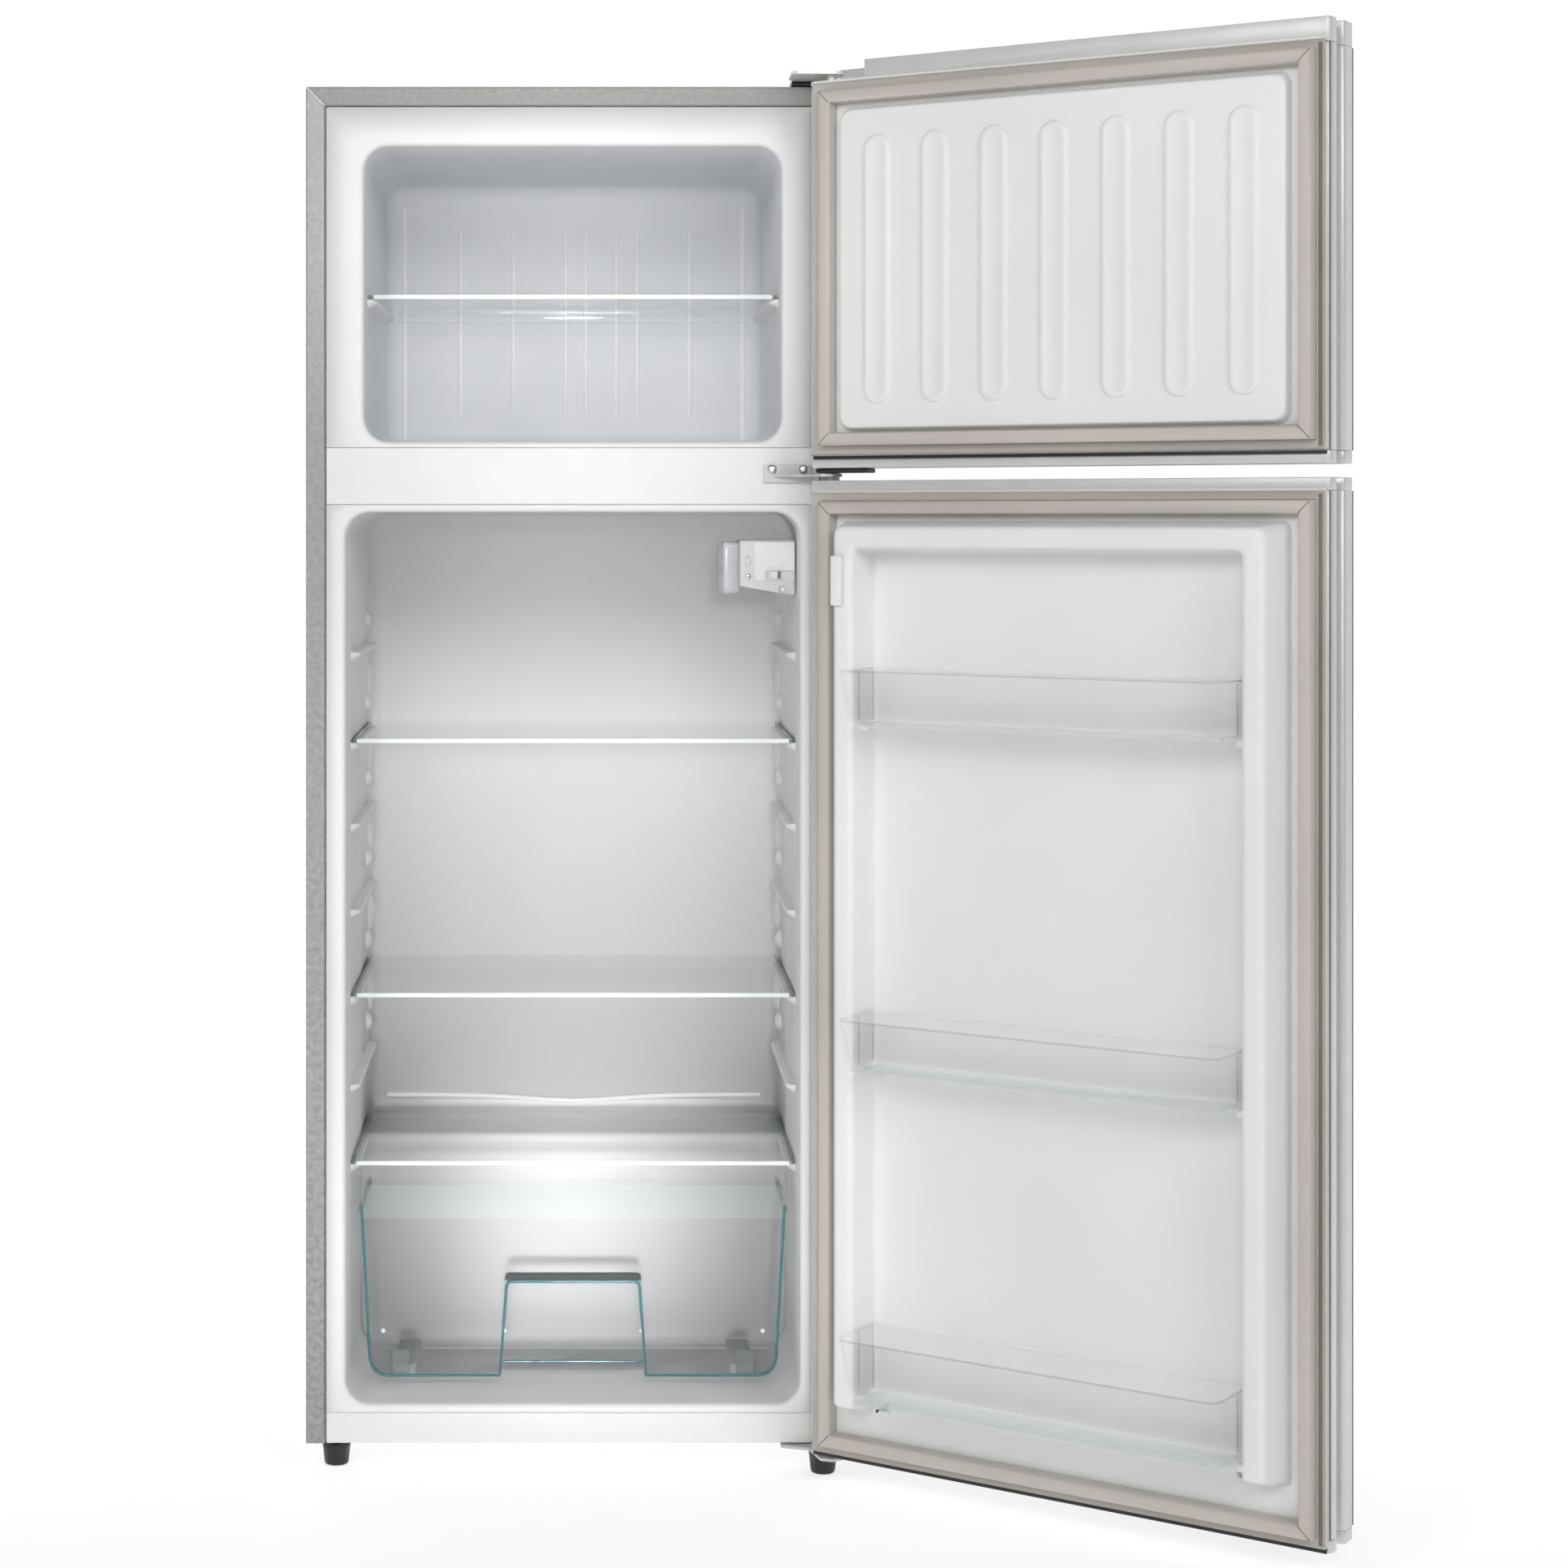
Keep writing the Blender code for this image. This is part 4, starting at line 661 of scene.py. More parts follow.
def build_fridge_liner():
    """The fridge compartment, with its step over the compressor and its rails, bosses and gutter."""
    bm = bmesh.new()
    add_rings(bm, tub_rings("fridge_liner", FRIDGE_HALF, FRIDGE_Z, FRIDGE_BACK), 1)
    cut_y, cut_z = STEP_FRONT + 0.004, STEP_TOP - 0.004
    slice_at(bm, (0, cut_y, 0), (0, 1, 0))
    slice_at(bm, (0, 0, cut_z), (0, 0, 1))
    middles = [(face, face.calc_center_median()) for face in bm.faces]
    hidden = [face for face, middle in middles if middle.y > cut_y and middle.z < cut_z]
    bmesh.ops.delete(bm, geom=hidden, context="FACES")
    liner = shell(piece("fridge_tub", bm), (0, FRIDGE_BACK, 0.7), (0, -1, 0))
    settle(liner, "cabinet", "liner_white", "fridge_liner")
    recolour(liner, "inner_white", behind_face)

    floor = FRIDGE_Z[0] + 0.0004
    path = [(STEP_FRONT - 0.021, floor), (STEP_FRONT, floor), (STEP_FRONT, STEP_TOP), (FRIDGE_BACK, STEP_TOP)]
    path = filleted(path + [(FRIDGE_BACK + 0.001, STEP_TOP + 0.022)], 0.01, 8)
    half = FRIDGE_HALF + 0.0008
    step = strip("fridge_step", [[(x, y, z) for y, z in path] for x in (-half, half)])
    settle(shell(step, (0, STEP_FRONT, 0.2), (0, -1, 0)), "cabinet", "inner_white")

    front = local_box("shelf_upper")[0].y
    parts = []
    for level in LEDGES:
        for side in (-1, 1):
            if level > STEP_TOP + 0.01:
                wall = side * FRIDGE_HALF
                parts += [
                    (add_rail, side, FRIDGE_HALF, level - 0.0003, front + 0.004, 0.348),
                    (add_bulge, (wall + side * 0.001, 0.318, level + 0.027), (0.0075, 0.016, 0.0105)),
                    (add_bulge, (wall + side * 0.002, 0.365, level + 0.052), (0.0075, 0.03, 0.022)),
                ]
            else:
                parts.append((add_rail, side, FRIDGE_HALF, level - 0.0003, front + 0.004, STEP_FRONT - 0.01))
    for x in (-0.178, 0.178):
        rest = (x + 0.012, STEP_FRONT - 0.012, DRAWER_LOW.z - 0.0003)
        parts.append((add_block, (x - 0.012, front + 0.05, FRIDGE_Z[0] - 0.0008), rest, 0.002))
    gutter = []
    for i in range(41):
        x = -0.214 + 0.428 * i / 40
        gutter.append((x, FRIDGE_BACK - 0.001, 0.3125 - 0.0065 * math.exp(-((x / 0.075) ** 2))))
    parts.append((add_tube, gutter, 0.003, 12))
    assemble("fridge_mouldings", "cabinet", "inner_white", parts)
    dress("cabinet_foam", "foam")
    dress("evaporator_plate", "zinc")


def build_front_and_base():
    """The bar between the compartments, the rail below them, and the metal under and behind the cabinet."""
    for name, node, edge in (("mullion_bar", "mullion_cover", 0.0011), ("lower_rail", "bottom_rail", 0.001)):
        settle(block(name, *local_box(node), edge, 4), "cabinet", "trim_white", node)
    for node, edge in (("base_pan", 0.0004), ("compressor_plate", 0.0005)):
        dress(node, "zinc", edge)
        recolour(NODES[node], "black_plastic", lambda point, normal: point.z < BOTTOM - 0.001)
    dress("back_panel", "flat_steel", 0.0004)


# ---------------------------------------------------------------- shelves and drawer
def build_shelves():
    """Glass plates with eased edges, an opaque near-white strip on the front edge as a painted highlight and
    dark green strips on the side edges, the glass's tint darkened as painted shade.
    """
    for node in ("shelf_upper", "shelf_lower", "crisper_cover", "freezer_shelf"):
        low, high = local_box(node)
        inset = Vector((0.0012, 0, 0))
        plate = block(f"{node}_glass", low + inset + Vector((0, 0.0012, 0)), high - inset, 0.0006, 2)
        settle(plate, node, "glass", node)
        z = (low.z + high.z) / 2
        # The front strip is painted near-white as the edge's highlight.
        ends = (low.x + 0.004, low.y, z - 0.0023), (high.x - 0.004, low.y + 0.0014, z + 0.0023)
        settle(block(f"{node}_front_edge_painted_highlight", *ends, 0.0006), node, "glass_edge")
        # Dark green strips on the side edges: the glass's tint, darkened as painted shade.
        assemble(f"{node}_side_edges_tint_and_shade", node, "glass_side", [
            (add_block, (x, low.y + 0.003, low.z), (x + 0.0013, high.y - 0.002, high.z), 0.0004, 2)
            for x in (low.x, high.x - 0.0013)
        ])
    bar = block("freezer_shelf_back_bar", *local_box("freezer_shelf_trim"), 0.003, 4)
    settle(bar, "freezer_shelf", "pale_edge", "freezer_shelf_trim")


def drawer_shape(name, inset):
    """The drawer's outer form, or its inside when inset is its wall."""
    low, high = DRAWER_LOW, DRAWER_HIGH
    radius = 0.016 - inset
    top = high.z + (0.01 if inset else 0.0)

    def ring(y, shrink):
        base, half = low.z + inset + shrink, DRAWER_HALF - inset - shrink
        wide = half + DRAWER_SLOPE * (top - low.z)
        points = [(wide, top), (-wide, top)]
        for sign, start in ((-1, 180), (1, 270)):
            points += arc((sign * (half - radius), base + radius), radius, start, start + 90, 10)
        return [(x, y, z) for x, z in points]

    front, back = low.y + inset, high.y - 0.002 - inset
    stations = [(front, 0.0018), (front + 0.0006, 0.0006), (front + 0.0018, 0.0)]
    stations += [(back - 0.002, 0.0), (back, 0.002)]
    return lofted(name, [ring(*station) for station in stations])


def recess(name, grow):
    """The space of the finger recess, cut into the drawer's front and foot."""
    low = DRAWER_LOW
    corners = [(RECESS_FOOT + grow, low.z - 0.02), (RECESS_HEAD + grow, RECESS_TOP + grow)]
    outline = filleted(corners + [(-x, z) for x, z in corners[::-1]], 0.006, 6)
    return lofted(name, [[(x, y, z) for x, z in outline] for y in (low.y - 0.02, low.y + 0.028 + grow)])


def build_crisper():
    """A clear drawer with sloping sides, a stepped-back finger recess, a rim and small corner feet."""
    low, high = DRAWER_LOW, DRAWER_HIGH
    drawer = carve(drawer_shape("crisper_body", 0.0), recess("recess", 0.0))
    carve(drawer, carve(drawer_shape("inside", DRAWER_WALL), recess("recess_inside", DRAWER_WALL)))
    band = (0.244, high.z - 0.006)
    bm = bmesh.new()
    bm.from_mesh(drawer.data)
    for level in band:
        slice_at(bm, (0, 0, level), (0, 0, 1))
    bm.to_mesh(drawer.data)
    bm.free()
    settle(drawer, "crisper_drawer", "clear_plastic", "crisper_drawer")

    def in_band(point, normal):
        return point.y < low.y + 0.003 and band[0] < point.z < band[1] and abs(normal.y) > 0.9

    recolour(drawer, "clear_band", in_band)

    edge, foot = 0.0016, 0.0762
    base, top, half = low.z + edge, high.z - 0.026, DRAWER_HALF - edge
    line = filleted([(half + DRAWER_SLOPE * (top - low.z), top), (half, base), (foot, base)], 0.0225, 10)
    over = [(foot, base), (RECESS_HEAD, RECESS_TOP), (-RECESS_HEAD, RECESS_TOP), (-foot, base)]
    route = line + filleted(over, 0.006, 6)[1:] + [(-x, z) for x, z in line[-2::-1]]
    sill = [(x, low.y + 0.0285, low.z + 0.0085) for x in (0.0735, -0.0735)]
    lines = [(add_tube, points, edge, 10) for points in ([(x, low.y + 0.0008, z) for x, z in route], sill)]
    assemble("crisper_edge_line", "crisper_drawer", "teal_edge", lines)
    rim = []
    for side in (-1, 1):
        x = side * (DRAWER_HALF + DRAWER_SLOPE * (0.25 - low.z) + 0.0005)
        bar = (x - 0.0022, low.y + 0.006, 0.249), (x + 0.0022, high.y - 0.003, 0.2545)
        x = side * 0.18
        foot = (x - 0.01, low.y + 0.004, low.z + 0.0025), (x + 0.01, low.y + 0.012, low.z + 0.026)
        rim += [(add_block, *bar, 0.0012), (add_block, *foot, 0.002)]
    assemble("crisper_rim", "crisper_drawer", "pale_edge", rim)
    assemble("crisper_studs", "crisper_drawer", "glass_edge", [
        (add_bulge, (x, low.y + 0.0026, 0.1265), (0.0024, 0.0012, 0.0024))
        for x in (-0.198, -0.0715, 0.0715, 0.198)
    ])


# ---------------------------------------------------------------- control box
def build_control_box():
    """The housing with its vents, screw, dial slot and raised plate."""
    low, high = local_box("thermostat_housing")
    slot = Vector((0.2005, low.y, 0.909))
    wide, tall = 0.028, 0.01
    housing = block("control_housing", low, high, 0.004, 5)
    size = high - low
    carve_block(housing, low, (0.002, 0.002, 0.002), size + Vector((0.01, -0.002, -0.002)), 0.003)
    wedge = [(low.x - 0.01, low.z - 0.01), (high.x + 0.001, low.z - 0.01)]
    wedge += [(high.x + 0.001, low.z), (low.x - 0.01, low.z + 0.0125)]
    carve(housing, lofted("slope", [[(x, y, z) for x, z in wedge] for y in (low.y - 0.01, high.y + 0.01)]))
    carve_block(housing, slot, (0, -0.01, 0), (wide, 0.0012, tall), 0.0004)
    plunger = local_box("door_switch_plunger")
    middle = (plunger[0] + plunger[1]) / 2
    carve(housing, lathe("bore", [(0.0034, -0.01), (0.0034, 0.01)], (middle.x, low.y, middle.z), 24, "Y"))
    for z in (0.03, 0.04):
        carve_block(housing, low, (0.006, -0.01, z), (0.0115, 0.0009, z + 0.0024), 0.0008)
    settle(bevel(housing, 0.0004, 2, 50.0), "cabinet", "control_white", "thermostat_housing")

    front = low + Vector((0.016, -0.0014, 0.016)), (high.x - 0.0012, low.y + 0.001, high.z - 0.002)
    plate = block("control_plate", *front, 0.0006)
    carve_block(plate, slot, (-0.0012, -0.01, -0.0008), (wide + 0.0005, 0.01, tall + 0.0008), 0.0006)
    carve_block(plate, slot, (0.017, -0.01, tall + 0.002), (0.0215, -0.001, tall + 0.012), 0.0003)
    settle(plate, "cabinet", "trim_white")
    relief = []
    for k in range(7):
        mark = slot + Vector((0.002 + k * 0.0022, 0, tall))
        ends = mark + Vector((-0.0003, -0.0018, 0.002)), mark + Vector((0.0003, -0.001, 0.0046))
        relief.append((add_block, *ends, 0.0001, 1))
    relief.append((add_bulge, low + Vector((0.009, 0, 0.036)), (0.0036, 0.0016, 0.004)))
    assemble("control_relief", "cabinet", "control_white", relief)
    head = [(0.0, -0.0005), (0.003, -0.0005), (0.003, 0.0006), (0.0018, 0.0014), (0.0, 0.0016)]
    screw = (add_lathe, head, low + Vector((0.0092, 0, 0.0205)), 20, "Y")
    assemble("control_screw", "cabinet", "screw_steel", [screw])


def build_control_fittings():
    """The lamp cover beside the housing, the dial in its slot and the door switch's plunger."""
    low, high = local_box("lamp_cover")
    middle = (low + high) / 2
    half, depth = (high.z - low.z) / 2, (high.y - low.y) / 2
    rings = []
    for inset, x in filleted([(0.0, high.x), (0.0, high.x - 0.0155), (0.0045, high.x - 0.017)], 0.002, 4):
        outline = round_rectangle(depth - inset, -half + inset, half - inset, 0.006, 8)
        rings.append([(x, a + middle.y, b + middle.z) for a, b in outline])
    cover = shell(lofted("lamp_lens", rings, 1), (low.x, middle.y, middle.z), (-1, 0, 0), 0.0013)
    settle(cover, "cabinet", "lamp_plastic", "lamp_cover")
    dress("lamp_bulb", "lamp_glass")

    low, high = local_box("thermostat_knob")
    centre = (low + high) / 2
    radius, thick = (high.x - low.x) / 2, (high.z - low.z) / 2
    shares = ((0.86, -1.0, 0.0), (0.95, -0.92, 0.0004), (1.0, -0.72, 0.0004))
    shares += tuple((share, -height, ribs) for share, height, ribs in shares[::-1])
    profile = [(radius * share, thick * height, ribs) for share, height, ribs in shares]
    dial = (add_lathe, profile, centre, 96, "Z", 4)
    assemble("dial", "thermostat_knob", "liner_white", [dial], "thermostat_knob")
    mark = Vector((centre.x, low.y, centre.z))
    thick *= 0.9
    ends = mark + Vector((-0.0006, -0.0002, -thick)), mark + Vector((0.0026, 0.0015, thick))
    settle(block("dial_mark", *ends, 0.0002), "thermostat_knob", "gasket_line")

    low, high = local_box("door_switch_plunger")
    radius, tall = (high.x - low.x) / 2, high.y - low.y
    shares = ((0.0, 0.0), (1.0, 0.0), (1.0, 0.8), (0.9, 0.92), (0.6, 0.985), (0.0, 1.0))
    profile = [(radius * across, tall * up) for across, up in shares]
    plunger = lathe("switch_plunger", profile, ((low.x + high.x) / 2, high.y, (low.z + high.z) / 2), 32, "Y")
    settle(plunger, "door_switch", "trim_white", "door_switch_plunger")


# ---------------------------------------------------------------- doors
def build_skin(name):
    """The painted sheet round a door's front and hinge side, with the bead along its hinge edge."""
    low, high = local_box(f"{name}_skin")
    route = filleted([(HALF, high.y), (HALF, DOOR_OUTER), (low.x, DOOR_OUTER)], 0.009, 8)
    skin = strip(f"{name}_sheet", [[(x, y, z) for x, y in route] for z in (low.z, high.z)])
    shell(skin, (0, DOOR_OUTER, (low.z + high.z) / 2), (0, -1, 0), SHEET)
    settle(skin, name, "door_paint", f"{name}_skin")
    bead = [(HALF - 0.0012, high.y + 0.0002, z) for z in (low.z + 0.004, high.z - 0.004)]
    assemble(f"{name}_hinge_bead", name, "trim_white", [(add_tube, bead, 0.0012, 10)])
    dress(f"{name}_foam", "foam")


def free_side(edge, y0, y1, inner):
    """(x, y) points of a door's free side: two rounded bars with a finger groove between them."""
    offsets = ((0.006, 0.0), (0.0016, 0.0014), (0.0, 0.006), (0.0, 0.0225), (0.002, 0.0252), (0.0125, 0.0262))
    offsets += ((0.014, 0.0285), (0.014, 0.0385), (0.0125, 0.0408), (0.002, 0.0418), (0.0, 0.044))
    points = [(edge + x, y0 + y) for x, y in offsets]
    return [(inner, y0), *points, (edge, y1 - 0.004), (edge + 0.003, y1), (inner, y1)]


def build_grip(name):
    """The pull profile along a door's free side, with its finger groove and a thin dark line along each edge,
    a joint painted dark as the shade of its rounded corners.
    """
    low, high = local_box(f"{name}_grip")
    pull = prism(f"{name}_pull", free_side(low.x, low.y, high.y, high.x), low.z, high.z, 0.0002)
    settle(pull, name, "cap_grey", f"{name}_grip")
    # Thin dark tubes along the pull's two edges: joints, painted dark as shade.
    places = ((low.x + 0.0009, low.y + 0.0022), (low.x + 0.0014, high.y - 0.0006))
    edge_shade_lines = [(add_tube, [(x, y, low.z), (x, y, high.z)], 0.0007, 8) for x, y in places]
    assemble(f"{name}_pull_edge_shade", name, "gasket_line", edge_shade_lines)


def build_caps(name):
    """The moulded end caps of a door: they carry on its side profile, with a bore for the hinge pin."""
    for end in ("top", "bottom"):
        node = f"{name}_cap_{end}"
        low, high = local_box(node)
        if node == "freezer_door_cap_bottom":
            low.z = high.z - 0.012
            under = (HALF - 0.056, HINGE.y - 0.012, low.z - 0.0048)
            stop = block("door_stop", under, (HALF - 0.002, DOOR_INNER - 0.006, low.z - 0.0002), 0.0015)
            settle(stop, name, "black_plastic")
        outline = [(HALF - 0.006, low.y)] + free_side(low.x, low.y, high.y, HALF)[1:-2]
        outline += [(-HALF + 0.003, high.y), (HALF, high.y), (HALF, low.y + 0.006)]
        cap = prism(f"{node}_moulding", outline, low.z, high.z, 0.001)
        if node == "freezer_door_cap_top":
            beyond = high - low + Vector((0.01, 0.01, 0.01))
            carve_block(cap, low, (2 * HALF - 0.062, 0.004, 0.0045), beyond, 0.0)
        carve(cap, lathe("bore", [(0.0044, -0.02), (0.0044, 0.05)], (HINGE.x, HINGE.y, low.z), 32))
        settle(cap, name, "cap_grey", node)
    # A thin black strip under the gasket at the foot of the door's inner face: painted shadow in the gap
    # between liner and cap.
    half = HALF - PANEL_MARGIN
    bottom, top = {"freezer_door": (1.0328, 1.0358), "fridge_door": (0.0348, 0.039)}[name]
    shadow_strip = (-half, DOOR_INNER - 0.0012, bottom), (half, DOOR_INNER + 0.0009, top)
    settle(block(f"{name}_lower_painted_shadow", *shadow_strip, 0.0004), name, "black_plastic")
    if name == "freezer_door":
        bead = [(x, DOOR_INNER + 0.0006, 1.4104) for x in (-HALF + 0.004, HALF - 0.004)]
        assemble("freezer_door_upper_bead", name, "trim_white", [(add_tube, bead, 0.0016, 10)])


def build_gasket(name):
    """The door's magnetic seal: a magnet pocket with a bellows fold at its foot, mitred at the corners."""
    low, high = local_box(f"{name}_gasket")
    tall = high.y - DOOR_INNER
    bottom, top = {"freezer_door": (1.0372, 1.4088), "fridge_door": (0.0393, 0.9992)}[name]
    section = [(0.0, 0.0004), (0.0, 0.0036), (0.0008, 0.0044), (0.0018, 0.0036), (0.0116, 0.0036)]
    section += [(0.0122, 0.0018), (0.0124, 0.002), (0.0124, tall - 0.0034), (0.0132, tall - 0.001)]
    section += [(0.0152, tall), (0.0222, tall), (0.0244, tall - 0.001), (0.0252, tall - 0.0034)]
    section += [(0.0252, 0.0066), (0.0262, 0.0056), (0.0262, 0.0004)]
    rings = []
    for inset, height in section + section[:1]:
        half = high.x - inset
        rise = inset * 0.68 if inset < 0.0123 else inset - 0.004
        free = -half - min(1.0, inset / 0.0116) * GASKET_SHIFT
        corners = [(half, bottom + rise), (half, top - rise), (free, top - rise), (free, bottom + rise)]
        rings.append([(x, DOOR_INNER + height, z) for x, z in corners])
    bm = bmesh.new()
    add_rings(bm, rings, 0)
    bmesh.ops.remove_doubles(bm, verts=bm.verts, dist=0.00001)
    seal = piece(f"{name}_seal", bm, 50.0)
    settle(seal, name, "gasket", f"{name}_gasket")

    def shaded_flanks(point, normal):
        """The flanks of the magnet pocket and the outer foot, painted darker than its top as shade."""
        level = point.y - DOOR_INNER
        across = high.x - (point.x if point.x > 0 else -point.x - GASKET_SHIFT)
        outer = across < 0.0128 or min(point.z - bottom, top - point.z) < 0.0088
        return level < (0.005 if outer else tall - 0.0034)

    recolour(seal, "gasket_side", shaded_flanks, OPENED)
    lines, crest = [], DOOR_INNER + tall - 0.0001
    for side, shift in ((-1, GASKET_SHIFT), (1, 0.0)):
        for z, up in ((bottom, 1), (top, -1)):
            ends = [(side * (high.x - inset) - shift, z + up * (inset - 0.004)) for inset in (0.0136, 0.0248)]
            lines.append((add_tube, [(x, crest, level) for x, level in ends], 0.00045, 8))
    # A dark block along the gasket's inner edge on the free side: painted shadow.
    x = -high.x + 0.0024
    shadow = (x, DOOR_INNER + 0.001, bottom + 0.003), (x + 0.0036, DOOR_INNER + 0.0042, top - 0.003)
    assemble(f"{name}_seal_mitres_and_painted_shadow", name, "gasket_line", [*lines, (add_block, *shadow, 0.0002, 1)])


def door_ring(z, params, foot):
    """One ring of a door liner; params are inset, height, corner radius, top inset and bottom inset."""
    inset, height, radius, top, base = params
    half = HALF - inset
    steps = 6
    outline = round_rectangle(half, z[0] + base, z[1] - top, max(radius, 0.001), steps)
    if foot:
        levels = [foot + DYKE_TURN * t for t in (0.0, 0.06, 0.16, 0.3, 0.45, 0.62, 0.8, 1.0)]
        corner = steps + 1
        outline[corner:corner] = [(half, level) for level in levels]
        outline[-corner:-corner] = [(-half, level) for level in levels[::-1]]

    def lift(level):
        if not foot:
            return height
        share = max(0.0, min(1.0, (level - foot) / DYKE_TURN))
        return height * math.sin(share * math.pi / 2) ** 0.75

    return [(x, DOOR_INNER + lift(level), level) for x, level in outline]


def door_panel(name, steps, curve, foot, nearest):
    """The moulded sheet inside a door, from its steps; gives back its lower and upper end."""
    low, high = local_box(f"{name}_liner")
    z = (low.z - PANEL_MARGIN, high.z + PANEL_MARGIN)
    panel = lofted(f"{name}_panel", [door_ring(z, p, foot) for p in filleted(steps, 0.003, curve)], 1)
    settle(shell(panel, nearest, (0, 1, 0)), name, "liner_white", f"{name}_liner")
    return z


def build_freezer_door_liner():
    name = "freezer_door"
    y = DOOR_INNER + PANEL_HIGH
    low, high = door_panel(name, [
        (PANEL_MARGIN, 0.0, 0.004, PANEL_MARGIN, PANEL_MARGIN), (0.0365, 0.0, 0.012, 0.0285, 0.029),
        (0.0395, PANEL_HIGH, 0.012, 0.0315, 0.032), (0.07, PANEL_HIGH, 0.012, 0.07, 0.07),
    ], 5, None, (0, y, 1.22))
    section = ((0.0158, -0.0004), (0.0152, 0.0004), (0.0147, 0.0014), (0.014, 0.0022))
    section += ((0.0128, 0.0028), (0.0112, 0.003), (0.009, 0.0029), (0.008, 0.0026))
    for number in range(7):
        x = 0.1905 - 0.064 * number
        rings = []
        for radius, height in section:
            outline = arc((x, high - 0.0725), radius, 0, 180, 16)
            outline += arc((x, low + 0.0705), radius, 180, 360, 16)
            rings.append([(a, y + height, b) for a, b in outline])
        settle(lofted(f"{name}_rib_{number + 1}", rings, smooth=60.0), name, "liner_white")


def build_fridge_door_liner():
    name = "fridge_door"
    door_panel(name, [
        (PANEL_MARGIN, 0.0, 0.004, PANEL_MARGIN, PANEL_MARGIN), (0.0365, 0.0, 0.008, 0.0345, 0.0365),
        (0.0385, 0.006, 0.009, 0.0355, 0.038), (0.048, DYKE_HIGH - 0.003, 0.009, 0.0395, 0.0395),
        (0.052, DYKE_HIGH, 0.008, 0.042, 0.041),
        (0.066, DYKE_HIGH, 0.007, 0.058, 0.0425), (0.07, DYKE_HIGH - 0.003, 0.006, 0.061, 0.044),
        (0.0735, 0.0, 0.005, 0.0645, 0.0455), (0.09, 0.0, 0.005, 0.081, 0.062),
    ], 4, DYKE_FOOT, (0, DOOR_INNER, 0.5))
    lugs = []
    for shelf in ("upper", "middle", "lower"):
        base = local_box(f"door_bin_{shelf}")[0].z
        for side in (-1, 1):
            lug = Vector((side * (HALF - 0.0755), DOOR_INNER, base))
            ends = lug + Vector((-0.0047, 0.014, -0.008)), lug + Vector((0.0047, 0.026, -0.0003))
            lugs.append((add_block, *ends, 0.002, 4))
    assemble("bin_lugs", name, "liner_white", lugs)
    low, high = local_box("switch_striker")
    pad = block("striker_pad", low + Vector((0.004, 0, 0)), high + Vector((0.0025, 0, 0)), 0.0018, 4)
    settle(pad, name, "trim_white", "switch_striker")


def build_bin(shelf):
    """A clear door bin: thin walls, a rim band and thicker ends."""
    node, body = f"door_bin_{shelf}", f"bin_{shelf}"
    low, high = local_box(node)
    base, top = low.z, high.z

    def ring(z, draw):
        """The outline at a level: round at the front corners, leaning out towards the top."""
        half, front, radius = high.x - draw, high.y - draw - 0.28 * (top - z), 0.014
        back = low.y
        points = [(-half, back + 0.001), (-half + 0.001, back), (half - 0.001, back), (half, back + 0.001)]
        for sign, start in ((1, 0), (-1, 90)):
            points += arc((sign * (half - radius), front - radius), radius, start, start + 90, 8)
        return [(x, y, z) for x, y in points]

    walls = [(base, 0.004), (base + 0.0012, 0.0022), (base + 0.004, 0.001), (top - 0.0085, 0.0007)]
    walls += [(top, 0.0007), (top, 0.002)]
    walls += [(base + 0.005, 0.003), (base + 0.003, 0.0042), (base + 0.0022, 0.0055)]
    tray = lofted(f"{node}_tray", [ring(*place) for place in walls])
    settle(tray, body, "clear_plastic", node)
    recolour(tray, "bin_floor", lambda point, normal: abs(normal.z) > 0.9 and point.z < base + 0.006)
    band = ((-0.0018, 0.0009), (-0.0015, 0.0001), (-0.0004, 0.0), (0.0, 0.0006))
    band += ((0.0, 0.0022), (-0.0008, 0.0026), (-0.0018, 0.0025), (-0.0018, 0.0009))
    settle(lofted(f"{node}_rim", [ring(top + up, draw) for up, draw in band], 0), body, "pale_edge")
    corner = ring(base, 0.012)[6]
    ends = []
    for side in (-1, 1):
        x = side * (high.x - 0.0012)
        ends += [[(x, y, base + 0.003), (x, y, top - 0.003)] for y in (low.y + 0.0015, low.y + 0.03)]
        x = side * abs(corner[0])
        ends.append([(x, y, base + 0.0012) for y in (corner[1], low.y + 0.004)])
    assemble(f"{node}_ends", body, "pale_edge", [(add_tube, line, 0.0009, 8) for line in ends])


# ---------------------------------------------------------------- hinges and feet
def build_hinges():
    # The top hinge takes a lighter zinc, painted highlight for the bright reflection under it; the middle and
    # bottom hinges a darker zinc, painted shade.
    for place, material in (("top", "bright_zinc"), ("middle", "dull_zinc"), ("bottom", "dull_zinc")):
        dress(f"{place}_hinge", material, 0.0006, 3)
    dress("top_hinge_spacer", "black_plastic", 0.0006)
    head = [(0.0, -0.0018), (0.0021, -0.0018), (0.0021, 0.0), (0.0045, 0.0), (0.0047, 0.0006)]
    head += [(0.0038, 0.0016), (0.0022, 0.0022), (0.0012, 0.0022), (0.001, 0.0012), (0.0, 0.0012)]
    for kind, axis in (("top_hinge_screw", "Z"), ("middle_hinge_screw", "Y")):
        for number in (1, 2):
            node = f"{kind}_{number}"
            low, high = local_box(node)
            place = (low + high) / 2
            if axis == "Z":
                place.z = high.z - 0.0022
            else:
                place.y = low.y + 0.0022
            screw = (add_lathe, head, place, 36, axis)
            assemble(f"{kind}_head_{number}", "cabinet", "screw_steel", [screw], node, 40.0)


